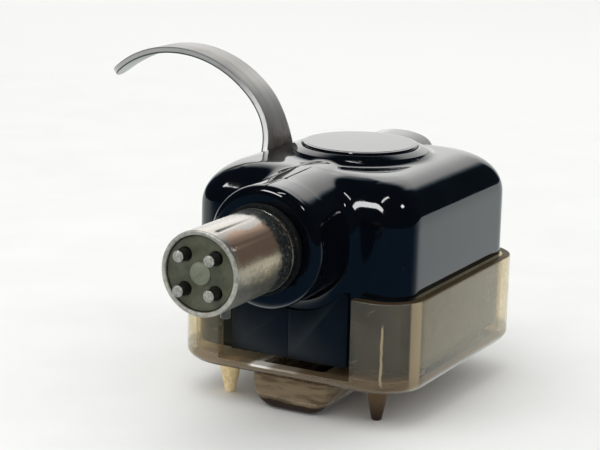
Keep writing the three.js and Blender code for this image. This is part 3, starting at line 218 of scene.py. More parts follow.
def turned(name, outline, axis, place, sides=64, ring=False):
    """A turned part: a circle at the outline's first radius and height, extruded and resized along it."""
    tilt = {"x": (0, math.pi / 2, 0), "y": (-math.pi / 2, 0, 0), "z": (0, 0, 0)}[axis]
    along = Vector([float(axis == other) for other in "xyz"])
    centre = Vector(place)
    radius, height = outline[0]
    piece = start(
        name,
        bpy.ops.mesh.primitive_circle_add,
        vertices=sides,
        radius=radius * MM,
        fill_type="NOTHING" if ring else "NGON",
        location=(centre + along * height) * MM,
        rotation=tilt,
    )
    edit()
    bpy.ops.mesh.select_mode(type="VERT")
    bpy.ops.mesh.select_all(action="SELECT")
    closing = outline[1:] + outline[:1] if ring else outline[1:]
    for next_radius, next_height in closing:
        extrude(along * (next_height - height) * MM)
        if next_radius != radius:
            scale = next_radius / radius
            resize([1 if axis == other else scale for other in "xyz"], (centre + along * next_height) * MM)
        radius, height = next_radius, next_height
    leave()
    outward(piece)
    return piece


def rod(radius, low, high, axis, place, sides=48):
    return turned("tool", [(radius, low), (radius, high)], axis, place, sides)


def block(low, high, name="tool"):
    low, high = Vector(low) * MM, Vector(high) * MM
    return start(
        name, bpy.ops.mesh.primitive_cube_add, size=1, location=(low + high) / 2, scale=high - low
    )


def ball(name, radius, centre, segments):
    return start(
        name,
        bpy.ops.mesh.primitive_uv_sphere_add,
        segments=segments,
        ring_count=segments // 2,
        radius=radius * MM,
        location=vec(*centre),
    )


def plate(name, centre, width, height, axis):
    """A flat square face across an axis, resized to a width and a height."""
    tilt = {"x": (0, math.pi / 2, 0), "y": (-math.pi / 2, 0, 0)}[axis]
    piece = start(name, bpy.ops.mesh.primitive_plane_add, size=1, location=vec(*centre), rotation=tilt)
    edit()
    bpy.ops.mesh.select_all(action="SELECT")
    across = {"x": (1, width * MM, height * MM), "y": (width * MM, 1, height * MM)}[axis]
    resize(across, vec(*centre))
    return piece


def upright(edge):
    one, two = (vert.co for vert in edge.verts)
    return abs((one - two).normalized().z) > 0.9


def pick_level(piece, level):
    """Selects the flat faces at a height."""
    pick(piece, "FACE", lambda face: abs(face.calc_center_median().z - level) < TOLERANCE)


def draw_in(piece, level, middle, distance):
    """Moves the verts at a height towards the middle, one side after the other."""
    for axis in (0, 1):
        for side in (-1, 1):
            pick(piece, "VERT", lambda vert: (
                abs(vert.co.z - level) < TOLERANCE and (vert.co[axis] - middle[axis]) * side > 0
            ))
            move = [0, 0, 0]
            move[axis] = -side * distance
            bpy.ops.transform.translate(value=move)


def soft_box(name, low, high, corner, top=0, bottom=0, steps=8, corner_steps=8):
    """An upright box with bevelled upright edges, drawn in by steps at its top and bottom to round them."""
    piece = block((low[0], low[1], low[2] + bottom), (high[0], high[1], high[2] - top), name)
    edit()
    pick(piece, "EDGE", upright)
    bpy.ops.mesh.bevel(offset=corner * MM, segments=corner_steps, profile=0.5)
    middle = (Vector(low) + Vector(high)) / 2 * MM
    for radius, side, first_level in ((top, 1, high[2] - top), (bottom, -1, low[2] + bottom)):
        if not radius:
            continue
        level = first_level * MM
        inset = 0
        pick_level(piece, level)
        for step in range(1, steps + 1):
            angle = math.pi / 2 * step / steps
            next_level = first_level * MM + side * radius * math.sin(angle) * MM
            next_inset = radius * (1 - math.cos(angle)) * MM
            extrude((0, 0, next_level - level))
            draw_in(piece, next_level, middle, next_inset - inset)
            level, inset = next_level, next_inset
            pick_level(piece, level)
    leave()
    outward(piece)
    return piece


def smooth(piece, degrees):
    work_on(piece)
    bpy.ops.object.shade_smooth_by_angle(angle=math.radians(degrees))


def soften(piece, width, degrees=35, segments=2):
    """Bevels the sharp edges."""
    modify(
        piece,
        "BEVEL",
        width=width * MM,
        segments=segments,
        limit_method="ANGLE",
        angle_limit=math.radians(degrees),
        use_clamp_overlap=True,
    )


# Guard sizes
GUARD_HALF, GUARD_REAR, GUARD_FRONT = 13.0, -7.2, 20.9
GUARD_BOTTOM, GUARD_FLOOR, GUARD_TOP = 3.52, 4.52, 12.8
GUARD_WALL, GUARD_END_WALL = 0.8, 1
GUARD_CORNER, GUARD_FOOT_ROUND = 4.2, 1.2
GUARD_PEGS = [(-8.3, -3.4, 0), (8.3, -3.4, 0)]
TROUGH_REAR, TROUGH_FRONT, TROUGH_TOP = GUARD_REAR + 0.9, GUARD_FRONT - 1.3, 4.02
TROUGH_FOOT, TROUGH_RISE = 11.6, 1.22
TROUGH_WIDTH, TROUGH_NARROWING = 8.6, 3.6
TROUGH_ROUND, TROUGH_END_ROUND = 2, 0.9
TROUGH_WALL = 0.8

# Finger lift sizes, with two arcs, of which the second reaches on from the first
LIFT_X, LIFT_Y, LIFT_Z = -9.54, 7.7, 21.03
LIFT_THICK, LIFT_EXTRA = 0.54, 0.12
LIFT_RADII = (8.33, 12.64)
LIFT_JOINT, LIFT_REACH = math.radians(46), math.radians(87.2)
LIFT_TIP = 1.1
LIFT_CENTRES = [(LIFT_X - LIFT_RADII[0], 23.15)]
LIFT_CENTRES.append((
    LIFT_CENTRES[0][0] + (LIFT_RADII[0] - LIFT_RADII[1]) * math.cos(LIFT_JOINT),
    LIFT_CENTRES[0][1] + (LIFT_RADII[0] - LIFT_RADII[1]) * math.sin(LIFT_JOINT),
))

# Materials


class Wire:
    """What a node gives; sums, products and powers on it add Math nodes."""

    def __init__(self, finish, socket):
        self.finish = finish
        self.socket = socket

    def math(self, operation, other=0.0, first=False):
        values = (other, self) if first else (self, other)
        made = self.finish.node("ShaderNodeMath", {"operation": operation}, dict(enumerate(values)))
        return made(0)

    def __add__(self, other):
        return self.math("ADD", other)

    def __radd__(self, other):
        return self.math("ADD", other, first=True)

    def __sub__(self, other):
        return self.math("SUBTRACT", other)

    def __rsub__(self, other):
        return self.math("SUBTRACT", other, first=True)

    def __mul__(self, other):
        return self.math("MULTIPLY", other)

    def __rmul__(self, other):
        return self.math("MULTIPLY", other, first=True)

    def __pow__(self, other):
        return self.math("POWER", other)

    def size(self):
        return self.math("ABSOLUTE")

    def most(self, other):
        return self.math("MAXIMUM", other)

    def least(self, other):
        return self.math("MINIMUM", other)

    def step(self, low, high, to_low=0.0, to_high=1.0):
        """Goes softly from to_low at low to to_high at high; low may be the larger."""
        if low > high:
            low, high, to_low, to_high = high, low, to_high, to_low
        made = self.finish.node(
            "ShaderNodeMapRange",
            {"interpolation_type": "SMOOTHSTEP"},
            {"Value": self, "From Min": low, "From Max": high, "To Min": to_low, "To Max": to_high},
        )
        return made(0)


class Finish:
    """A node tree under construction, for a material or the world."""

    def __init__(self, owner):
        owner.use_nodes = True
        self.owner = owner
        self.tree = owner.node_tree
        self.tree.nodes.clear()

    def node(self, kind, settings=None, inputs=None):
        made = self.tree.nodes.new(kind)
        for name, value in (settings or {}).items():
            setattr(made, name, value)
        for name, value in (inputs or {}).items():
            if isinstance(value, Wire):
                self.tree.links.new(value.socket, made.inputs[name])
            else:
                made.inputs[name].default_value = value
        return lambda output=0: Wire(self, made.outputs[output])

    def spot(self):
        """Object coordinates in millimetres."""
        here = self.node("ShaderNodeTexCoord")("Object")
        return self.node("ShaderNodeVectorMath", {"operation": "SCALE"}, {0: here, "Scale": 1 / MM})(0)

    def along(self, axis, vector=None):
        return self.node("ShaderNodeSeparateXYZ", {}, {0: vector or self.spot()})("XYZ".index(axis))

    def shifted(self, vector, shift=(0, 0, 0), turn=(0, 0, 0), scale=(1, 1, 1)):
        angles = tuple(math.radians(angle) for angle in turn)
        inputs = {"Vector": vector, "Location": shift, "Rotation": angles, "Scale": scale}
        return self.node("ShaderNodeMapping", {}, inputs)(0)

    def noise(self, grain, detail=3.0, rough=0.5, stretch=(1, 1, 1), turn=(0, 0, 0), shift=(0, 0, 0)):
        """Noise of a grain in millimetres, drawn out along an axis by its stretch."""
        scale = tuple(1 / (grain * pull) for pull in stretch)
        vector = self.shifted(self.shifted(self.spot(), shift, turn), scale=scale)
        inputs = {"Vector": vector, "Scale": 1.0, "Detail": detail, "Roughness": rough}
        return self.node("ShaderNodeTexNoise", {}, inputs)(0)

    def specks(self, grain, size):
        """Small round spots, one in each cell of a grain in millimetres."""
        inputs = {"Vector": self.spot(), "Scale": 1 / grain, "Randomness": 1.0}
        far = self.node("ShaderNodeTexVoronoi", {"feature": "F1"}, inputs)("Distance")
        return far.step(size, size * 0.4)

    def scratches(self, grain, turn, share=0.72, stretch=14):
        """Fine long lines in one direction, broken by a coarser noise."""
        lines = self.noise(grain, 2.0, 0.6, (stretch, 1, 1), turn).step(share - 0.03, share)
        patches = self.noise(grain * 9, 1.0, shift=(3, 7, 1)).step(0.5, 0.62)
        return lines * patches

    def mix(self, share, one, two):
        colours = {
            name: value if isinstance(value, Wire) else (*value, 1)
            for name, value in ((6, one), (7, two))
        }
        return self.node("ShaderNodeMix", {"data_type": "RGBA"}, {0: share, **colours})(2)

    def bump(self, height, depth, normal=None):
        """A normal from a height of 0 to 1 that stands for a depth in millimetres."""
        inputs = {"Height": height, "Distance": depth * MM, "Strength": 1.0}
        if normal:
            inputs["Normal"] = normal
        return self.node("ShaderNodeBump", {}, inputs)(0)

    def principled(self, colour, rough, metal=0.0, normal=None, constants=None):
        if not isinstance(colour, Wire):
            colour = (*colour, 1)
        inputs = {"Base Color": colour, "Roughness": rough, "Metallic": metal, **(constants or {})}
        if normal:
            inputs["Normal"] = normal
        return self.node("ShaderNodeBsdfPrincipled", {}, inputs)(0)

    def done(self, shader):
        kind = "World" if isinstance(self.owner, bpy.types.World) else "Material"
        self.node("ShaderNodeOutput" + kind, {}, {"Surface": shader})
        return self.owner


def new_finish(name):
    return Finish(bpy.data.materials.new(name))


def black_shell():
    f = new_finish("black_shell")
    cloud = f.noise(6, 3)
    smear = f.noise(1.8, 4, 0.6, (1, 3, 1), shift=(5, 1, 2))
    dust = f.specks(1.3, 0.09) * f.noise(5, 2, shift=(9, 2, 4)).step(0.5, 0.6)
    hairs = f.scratches(0.12, (0, 0, 35), 0.74)
    colour = f.mix(cloud.step(0.35, 0.65), (0.0010, 0.0014, 0.0027), (0.0017, 0.0023, 0.0042))
    colour = f.mix(dust * 0.3, colour, (0.05, 0.05, 0.05))
    rough = 0.055 + smear.step(0.45, 0.75) * 0.07 + dust * 0.15 + hairs * 0.08
    skin = f.bump(f.noise(2.6, 2), 0.006)
    skin = f.bump(f.noise(0.35, 3) * 0.6 + hairs * 0.4, 0.0022, skin)
    return f.done(f.principled(colour, rough, normal=skin))


def label_foil():
    f = new_finish("label_foil")
    cloud = f.noise(2.2, 4, 0.6)
    worn = f.noise(0.5, 5, 0.65, shift=(4, 0, 8)).step(0.60, 0.72)
    colour = f.mix(cloud.step(0.3, 0.7), (0.0012, 0.0036, 0.0075), (0.0022, 0.0058, 0.0115))
    colour = f.mix(worn * 0.4, colour, (0.012, 0.018, 0.026))
    rough = 0.30 + worn * 0.2 + cloud * 0.08
    skin = f.bump(cloud * 0.6 + worn * 0.4, 0.012)
    return f.done(f.principled(colour, rough, normal=skin, constants={"Specular IOR Level": 0.3}))


def plug_nickel():
    """Nickel plate, pale along the top, brown at its side and dirty by the neck; a paler yellow stretch low
    on its side is a painted reflection of the floor, and its grey underside is painted shade.
    """
    f = new_finish("plug_nickel")
    spot = f.spot()
    x, y, z = (f.along(axis, spot) for axis in "XYZ")
    wander = f.noise(1.6, 3, 0.6, (1, 1.5, 1), shift=(2, 1, 5)) - 0.5
    fine = f.noise(0.4, 4, 0.65, (1, 1.6, 1))
    turn = x.math("ARCTAN2", z - PLUG_HEIGHT) + wander * 0.5
    stain = turn.step(0.46, 0.58) * turn.step(1.40, 1.22) * (y + wander * 3).step(-22.9, -22.3)
    streaks = f.noise(1.1, 3, 0.6, (1, 3, 1), shift=(9, 4, 1)).step(0.60, 0.68) * turn.step(0.2, -0.4)
    # Painted shade: the underside and the lower part of the left side turn a darker grey, and are also duller
    # and rougher.
    below = (turn + fine * 0.6).step(1.75, 2.25).most(turn.step(-1.2, -1.8))
    pits = f.specks(0.5, 0.17) * f.noise(1.3, 2, shift=(1, 1, 1)).step(0.50, 0.62)
    rim = y.step(-23.25, -23.38)
    colour = f.mix(fine.step(0.3, 0.7), (0.315, 0.295, 0.27), (0.345, 0.325, 0.295))
    # Painted reflection: low on the side, a paler yellow stands for the floor mirrored in the plating.
    colour = f.mix(turn.step(0.9, 1.3), colour, (0.60, 0.50, 0.35))
    colour = f.mix(stain.most(streaks) * 0.9, colour, (0.42, 0.265, 0.18))
    colour = f.mix(below, colour, f.mix(fine.step(0.3, 0.7), (0.11, 0.105, 0.085), (0.20, 0.19, 0.155)))
    colour = f.mix(pits * 0.7, colour, (0.10, 0.08, 0.06))
    colour = f.mix(rim, colour, f.mix(fine.step(0.35, 0.65), (0.34, 0.33, 0.28), (0.52, 0.51, 0.45)))
    rough = 0.24 + fine.step(0.4, 0.8) * 0.05 + stain * 0.06 + below * 0.16 + pits * 0.25 + rim * 0.15
    metal = 0.82 - below * 0.2 - pits * 0.3 - rim * 0.4
    skin = f.bump(f.noise(0.16, 2, 0.5, (1, 9, 1)), 0.0005)
    skin = f.bump(1 - pits, 0.010, skin)
    plating = f.principled(colour, rough, metal.most(0), skin)
    bead = y.step(-13.47, -13.42) * y.step(-13.24, -13.30)
    dirty = (y + wander * 1.6 + fine * 1.2).step(-15.5, -14.5) * (1 - bead * fine.step(0.62, 0.5))
    specks = f.noise(0.30, 4, 0.7, shift=(4, 4, 4)).step(0.50, 0.70)
    grime = f.mix(specks, (0.009, 0.012, 0.012), (0.105, 0.108, 0.088))
    crust = f.principled(grime, 0.6, normal=f.bump(specks, 0.02), constants={"Specular IOR Level": 0.2})
    return f.done(f.node("ShaderNodeMixShader", {}, {0: dirty, 1: plating, 2: crust})())


def pin_nickel():
    """Dull pale tips; behind them the pins are painted nearly black as shade."""
    f = new_finish("pin_nickel")
    # Painted shade: behind the tips the pins are nearly black.
    shaft_shade = f.along("Y").step(-24.50, -24.40)
    worn = f.noise(0.25, 4, 0.65)
    colour = f.mix(worn.step(0.35, 0.7), (0.27, 0.26, 0.23), (0.52, 0.51, 0.47))
    colour = f.mix(shaft_shade, colour, f.mix(worn.step(0.55, 0.75), (0.006, 0.006, 0.005), (0.06, 0.055, 0.045)))
    rough = 0.38 + worn * 0.15 + shaft_shade * 0.15
    skin = f.bump(worn, 0.012)
    return f.done(f.principled(colour, rough, 0.25 - shaft_shade * 0.25, skin, {"Specular IOR Level": 0.3}))


def gasket_rubber():
    f = new_finish("gasket_rubber")
    grain = f.noise(0.25, 4, 0.65)
    chalk = grain.step(0.58, 0.70) * f.noise(1.1, 3, shift=(3, 3, 1)).step(0.4, 0.6)
    colour = f.mix(chalk, (0.005, 0.006, 0.006), (0.075, 0.072, 0.06))
    rough = 0.6 + grain * 0.25
    skin = f.bump(grain, 0.02)
    return f.done(f.principled(colour, rough, normal=skin, constants={"Specular IOR Level": 0.2}))


def insulator_plastic(name, dark, light):
    f = new_finish(name)
    cloud = f.noise(1.3, 4, 0.6)
    grime = f.noise(0.35, 4, 0.7, shift=(2, 5, 5)).step(0.52, 0.72)
    colour = f.mix(cloud.step(0.3, 0.7), dark, light)
    colour = f.mix(grime * 0.45, colour, (0.03, 0.034, 0.026))
    rough = 0.42 + cloud * 0.15 + grime * 0.15
    return f.done(f.principled(colour, rough, normal=f.bump(cloud * 0.5 + grime * 0.5, 0.015)))


def turned_metal(name, dark, light, rough, metal=1.0):
    """A bright metal with fine machining marks, stains and a few pits."""
    f = new_finish(name)
    cloud = f.noise(1.5, 4, 0.6)
    fine = f.noise(0.12, 3, 0.6, (1, 1, 5))
    pits = f.specks(0.6, 0.14)
    stains = f.noise(0.9, 4, 0.6, shift=(7, 2, 3)).step(0.55, 0.72)
    colour = f.mix(cloud.step(0.3, 0.7), dark, light)
    colour = f.mix(stains * 0.5, colour, (0.1, 0.08, 0.06))
    level = rough + fine * 0.12 + stains * 0.2
    skin = f.bump(fine * 0.7 + (1 - pits) * 0.3, 0.004)
    return f.done(f.principled(colour, level, metal, skin))


def plain_plastic(name, dark, light, rough=0.45):
    """A moulded plastic with a fine grain, cloudy tone and scuffs."""
    f = new_finish(name)
    cloud = f.noise(2.5, 4, 0.6)
    grain = f.noise(0.18, 3, 0.6)
    scuffs = f.scratches(0.1, (20, 35, 50), 0.7)
    colour = f.mix(cloud.step(0.3, 0.7), dark, light)
    colour = f.mix(scuffs * 0.35, colour, tuple(min(1, part * 2.2 + 0.02) for part in light))
    level = rough + grain * 0.12 + scuffs * 0.1
    return f.done(f.principled(colour, level, normal=f.bump(grain * 0.6 + scuffs * 0.4, 0.006)))


def lift_steel():
    """Steel brushed along the strip: painted paler low down and darker high up as light and shade, and darker
    and browner towards its foot.
    """
    f = new_finish("lift_steel")
    z = f.along("Z")
    lines = f.noise(0.10, 3, 0.6, (60, 1, 60))
    broad = f.noise(0.55, 2, 0.5, (40, 1, 40), shift=(0, 3, 0))
    stains = f.noise(2.2, 4, 0.6, shift=(2, 2, 9)).step(0.46, 0.7)
    # Darker and browner towards the foot, in patches.
    brown = z.step(28.5, 24.5) * (0.6 + stains * 0.4)
    bands = broad.step(0.3, 0.7)
    lit_low_steel = f.mix(bands, (0.46, 0.445, 0.42), (0.58, 0.565, 0.54))
    shaded_high_steel = f.mix(bands, (0.24, 0.23, 0.215), (0.31, 0.30, 0.285))
    foot_brown = f.mix(lines.step(0.35, 0.7), (0.115, 0.080, 0.060), (0.32, 0.24, 0.185))
    # Painted light and shade: the same steel is paler up to a height of 29.8 and darker from 31.8.
    colour = f.mix(z.step(29.8, 31.8), lit_low_steel, shaded_high_steel)
    colour = f.mix(lines.step(0.35, 0.75) * 0.3, colour, (0.62, 0.60, 0.57))
    colour = f.mix(brown * 0.85, colour, foot_brown)
    rough = 0.40 + lines * 0.12 + stains * 0.06
    return f.done(f.principled(colour, rough, 0.78, f.bump(lines, 0.004)))


def lift_edge_glint_and_shade():
    """The edges of the steel strip, with worn spots: painted near white low down as a glint, darker higher
    up, and painted dark along their hollow side as a reflection of the dark room.
    """
    f = new_finish("lift_edge_glint_and_shade")
    spot = f.spot()
    x, z = f.along("X", spot), f.along("Z", spot)

    def across(radius, centre_x, centre_z):
        return ((x - centre_x) ** 2 + (z - centre_z) ** 2) ** 0.5 - radius

    (low_x, low_z), (high_x, high_z) = LIFT_CENTRES
    far = z.step(29.0, 29.2)
    place = across(LIFT_RADII[0], low_x, low_z) * (1 - far) + across(LIFT_RADII[1], high_x, high_z) * far
    # Painted reflection: dark along the hollow side, and fainter along the outer side higher up.
    dark = place.step(-0.20, -0.27).most(place.step(0.10, 0.17) * z.step(29.5, 31) * 0.6)
    worn = f.noise(0.5, 4, 0.6, (4, 1, 4))
    # Painted light: near white low down as a glint, a darker grey higher up.
    colour = f.mix(z.step(30.5, 27.5), (0.40, 0.395, 0.38), (0.92, 0.91, 0.88))
    colour = f.mix(worn.step(0.55, 0.75) * 0.35, colour, (0.20, 0.19, 0.17))
    colour = f.mix(dark, colour, (0.030, 0.042, 0.042))
    return f.done(f.principled(colour, 0.32 + worn * 0.15, 0.25 - dark * 0.25, f.bump(worn, 0.004)))


def guard_amber():
    """Clear plastic, aged amber: seen through in the tray's walls, cloudy in the trough and the pegs; painted
    shade, highlights and a pool of light are laid into its colour in places.
    """
    f = new_finish("guard_amber")
    spot = f.spot()
    x, y, z = (f.along(axis, spot) for axis in "XYZ")
    haze = f.noise(3.2, 4, 0.6)
    fine = f.noise(0.4, 4, 0.65, shift=(1, 6, 2))
    scuffs = f.scratches(0.16, (0, 35, 0), 0.70).most(f.scratches(0.14, (90, 20, 30), 0.70))
    streaks = f.noise(0.7, 3, 0.55, (5, 5, 1), shift=(2, 0, 0)).step(0.38, 0.66)
    wander = f.noise(2.5, 2) - 0.5

    tint = f.mix(haze.step(0.3, 0.7), (0.93, 0.865, 0.72), (0.87, 0.78, 0.60))
    cloud = f.mix(fine.step(0.3, 0.7), (0.35, 0.32, 0.245), (0.435, 0.40, 0.31))
    body = 0.09 + haze.step(0.35, 0.75) * 0.07 + scuffs * 0.35

    def layer(cloud, body, share, thick, colour):
        return f.mix(share, cloud, colour), body.most(share * thick)

    # Painted shade: a brown layer along the tray's foot stands for the shaded table seen through it.
    foot = z.step(5.5, 4.9)
    cloud, body = layer(cloud, body, foot, 0.5, (0.26, 0.185, 0.105))
    # Painted shade: the bottom edge is dark brown.
    rim = z.step(4.1, 3.75)
    rim_shade_brown = f.mix(fine.step(0.4, 0.6), (0.042, 0.023, 0.013), (0.125, 0.080, 0.046))
    cloud, body = layer(cloud, body, rim, 0.8, rim_shade_brown)
    # Painted highlight: a pale vertical stripe on the right rear corner.
    corner_highlight = y.step(-5.4, -4.9) * y.step(-3.5, -4.0) * x.step(12, 12.5)
    cloud, body = layer(cloud, body, corner_highlight * 0.9, 0.7, (0.42, 0.33, 0.20))
    # A crack line in the rear wall, painted pale as its highlight.
    crack_highlight = (x - 10.3 + wander).size().step(0.17, 0.06) * y.step(-6, -6.6)
    crack_highlight = crack_highlight * z.step(4.4, 5) * z.step(11.4, 10)
    cloud, body = layer(cloud, body, crack_highlight, 0.5, (0.62, 0.50, 0.30))
    # Painted shade: the top edge, in the gap under the shell, is near-black brown.
    top = z.step(GUARD_TOP - 0.09, GUARD_TOP - 0.04)
    cloud, body = layer(cloud, body, top, 0.93, (0.045, 0.030, 0.017))
    # Painted light: a near-white pool of light on the tray's floor, fading to a darker brown to the right as
    # shade.
    floor_light_pool = x.step(-4.4, -3.6) * x.step(2.4, 0.8) * y.step(6, 3) * z.step(4.3, 4.45) * z.step(5, 4.7)
    floor_light_pool_tone = f.mix(x.step(-2.4, -1.2), (0.98, 0.94, 0.86), (0.36, 0.30, 0.23))
    cloud, body = layer(cloud, body, floor_light_pool, 0.95, floor_light_pool_tone)
    trough_share = z.step(3.55, 3.4)
    brown = f.mix(streaks, (0.24, 0.185, 0.115), (0.12, 0.085, 0.052))
    cloud, body = layer(cloud, body, trough_share, 0.86, brown)
    # Painted highlight: a broken pale line along the trough, above its dark bottom.
    line = (z + wander * 0.8 - 1.4).size().step(0.14, 0.05)
    cloud, body = layer(cloud, body, line * fine.step(0.35, 0.6), 0.86, (0.30, 0.26, 0.19))
    # Painted shade: the trough's bottom is near-black brown.
    cloud, body = layer(cloud, body, (z + wander * 0.4).step(1.15, 0.9), 0.93, (0.028, 0.018, 0.014))
    # Painted light and shade: the left peg is a bright gold as lit, the right peg dark as shaded, darkest at
    # its tip.
    pegs = z.step(3.5, 3.2) * y.step(-1.5, -2.2) * x.size().step(6, 6.5)
    shaded_dark_peg = f.mix(z.step(0, 3), (0.026, 0.015, 0.009), (0.13, 0.088, 0.05))
    lit_gold_peg = f.mix(fine.step(0.4, 0.8), (1.0, 0.82, 0.48), (0.68, 0.49, 0.23))
    cloud, body = layer(cloud, body, pegs, 0.8, f.mix(x.step(-1, 1), lit_gold_peg, shaded_dark_peg))

    skin = f.bump(f.noise(1.8, 2), 0.012)
    skin = f.bump(scuffs * 0.6 + fine * 0.4, 0.004, skin)
    rough = 0.26 + fine * 0.08 + scuffs * 0.2
    clear = f.node("ShaderNodeBsdfTransparent", {}, {"Color": tint})()
    solid = f.principled(cloud, 0.5, normal=skin, constants={"Specular IOR Level": 0.0})
    shine = f.principled((1, 1, 1), rough, 1.0, skin)
    facing = f.node("ShaderNodeLayerWeight", {}, {"Blend": 0.5, "Normal": skin})("Facing")
    # Painted shade on the top edge and the bottom edge also takes most of the gloss off them.
    gloss = (0.04 + facing ** 5 * 0.96) * (1 - (top * 0.85).most(rim * 0.85))
    inner = f.node("ShaderNodeMixShader", {}, {0: body, 1: clear, 2: solid})()
    return f.done(f.node("ShaderNodeMixShader", {}, {0: gloss, 1: inner, 2: shine})())


def coil_copper():
    f = new_finish("coil_copper")
    turns = f.noise(0.05, 2, 0.5, (8, 1, 8))
    cloud = f.noise(0.6, 3)
    colour = f.mix(turns.step(0.35, 0.65), (0.20, 0.065, 0.02), (0.60, 0.26, 0.11))
    return f.done(f.principled(colour, 0.3 + cloud * 0.15, 0.9, f.bump(turns, 0.02)))


def lead_cover(name, colour):
    f = new_finish(name)
    grain = f.noise(0.3, 4, 0.6)
    dirt = f.noise(1.4, 3, shift=(1, 2, 3)).step(0.5, 0.7)
    dark = tuple(part * 0.6 for part in colour)
    tone = f.mix(grain.step(0.3, 0.7), dark, colour)
    tone = f.mix(dirt * 0.4, tone, (0.06, 0.05, 0.04))
    return f.done(f.principled(tone, 0.42 + grain * 0.15, normal=f.bump(grain, 0.008)))


def stylus_diamond():
    f = new_finish("stylus_diamond")
    cloud = f.noise(0.1, 3)
    colour = f.mix(cloud.step(0.3, 0.7), (0.70, 0.74, 0.78), (0.86, 0.88, 0.90))
    return f.done(f.principled(colour, 0.06 + cloud * 0.06, 0.0, f.bump(cloud, 0.001), {"IOR": 2.4}))


FINISHES = {
    "black_shell": black_shell(),
    "label_foil": label_foil(),
    "screw_brass": turned_metal("screw_brass", (0.46, 0.30, 0.10), (0.66, 0.47, 0.18), 0.26),
    "plug_nickel": plug_nickel(),
    "gasket_rubber": gasket_rubber(),
    "insulator_plastic": insulator_plastic("insulator_plastic", (0.068, 0.073, 0.042), (0.112, 0.116, 0.070)),
    "screw_steel": turned_metal("screw_steel", (0.34, 0.33, 0.31), (0.52, 0.51, 0.49), 0.3),
    "lift_steel": lift_steel(),
    "carrier_plastic": plain_plastic("carrier_plastic", (0.020, 0.022, 0.026), (0.034, 0.037, 0.042)),
    "board_brown": plain_plastic("board_brown", (0.11, 0.055, 0.024), (0.20, 0.105, 0.048), 0.5),
    "weight_brass": turned_metal("weight_brass", (0.40, 0.26, 0.09), (0.58, 0.41, 0.16), 0.36),
    "guard_amber": guard_amber(),
    "magnet_grey": turned_metal("magnet_grey", (0.07, 0.07, 0.075), (0.13, 0.13, 0.14), 0.45, metal=0.7),
    "soft_iron": turned_metal("soft_iron", (0.22, 0.22, 0.225), (0.36, 0.36, 0.37), 0.34),
    "damper_rubber": plain_plastic("damper_rubber", (0.010, 0.010, 0.011), (0.022, 0.022, 0.023), 0.7),
    "cantilever_aluminium": turned_metal(
        "cantilever_aluminium", (0.52, 0.52, 0.54), (0.72, 0.72, 0.74), 0.24
    ),
    "stylus_diamond": stylus_diamond(),
    "terminal_brass": turned_metal("terminal_brass", (0.50, 0.36, 0.12), (0.72, 0.55, 0.24), 0.24),
    "coil_copper": coil_copper(),
    "lead_red": lead_cover("lead_red", (0.40, 0.03, 0.025)),
    "lead_white": lead_cover("lead_white", (0.75, 0.72, 0.65)),
    "lead_green": lead_cover("lead_green", (0.03, 0.18, 0.07)),
    "lead_blue": lead_cover("lead_blue", (0.03, 0.07, 0.32)),
}


def finish_piece(piece, body, slot, *nodes, material=None, degrees=35):
    """Gives a piece its shading, its material, the body it rides on and the nodes it stands for."""
    smooth(piece, degrees)
    piece.data.materials.clear()
    piece.data.materials.append(material or FINISHES[slot])
    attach(piece, body)
    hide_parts(*nodes)


# Shell


def shell_outside():
    """The soft moulded outside: simple forms joined, remeshed and relaxed, mostly at the neck's root."""
    body = soft_box(
        "shell_body",
        (-SHELL_HALF, SHELL_REAR, SHELL_BOTTOM),
        (SHELL_HALF, SHELL_FRONT, ROOF),
        SHELL_CORNER,
        SHELL_TOP_ROUND,
        SHELL_FOOT_ROUND,
        steps=12,
        corner_steps=12,
    )
    swell_steps = 10
    swell = [
        (6.13 - 0.12 * math.cos(math.pi * step / swell_steps), -9.5 + 0.75 * step)
        for step in range(swell_steps + 1)
    ]
    neck = turned("neck", [(5.4, -11.6), (6.01, -11.4), *swell, (6.25, 7.7)], "y", PLUG_AXIS, 96)
    hump = soft_box("hump", (-4.1, 5, 20), (4.1, 17.6, 24.85), 1.6, top=0.6)
    cut(hump, rod(7.2, 4, 19, "y", (0, 0, 17.62), 96), way="INTERSECT")
    modify(hump, "REMESH", mode="VOXEL", voxel_size=0.12 * MM)
    modify(hump, "SMOOTH", factor=0.5, iterations=10)
    boss = turned(
        "boss", [(7.8, CEILING), (7.8, ROOF), (7.35, 23.98), (7.2, 24.2), (6.9, 24.4)], "z", BOSS_AXIS, 96
    )
    join(body, neck, boss)
    modify(body, "REMESH", mode="VOXEL", voxel_size=0.22 * MM)
    modify(body, "SMOOTH", factor=0.5, iterations=12)
    relax(body, 70, round_the_neck)
    join(body, hump)
    return body


def round_the_neck(place):
    """Whether a place in millimetres is at the neck's root."""
    return -8.4 < place.y < -2.5 and 4.9 < math.hypot(place.x, place.z - PLUG_HEIGHT) < 9.3


def relax(piece, iterations, chosen):
    """Smooths the part of a mesh whose places, in millimetres, pass a test."""
    work_on(piece)
    edit()
    pick(piece, "VERT", lambda vert: chosen(vert.co / MM))
    bpy.ops.object.vertex_group_assign_new()
    leave()
    modify(piece, "SMOOTH", factor=0.5, iterations=iterations, vertex_group=piece.vertex_groups[0].name)
    piece.vertex_groups.clear()


def neck_rim():
    """The crisp round edge of the neck's end."""
    outline = eased([(4.4, COLLAR), (NECK_RADIUS, COLLAR, 0.9), (NECK_RADIUS, -11), (5.8, -10.8)], 10)
    return turned("rim", outline, "y", PLUG_AXIS, 128)


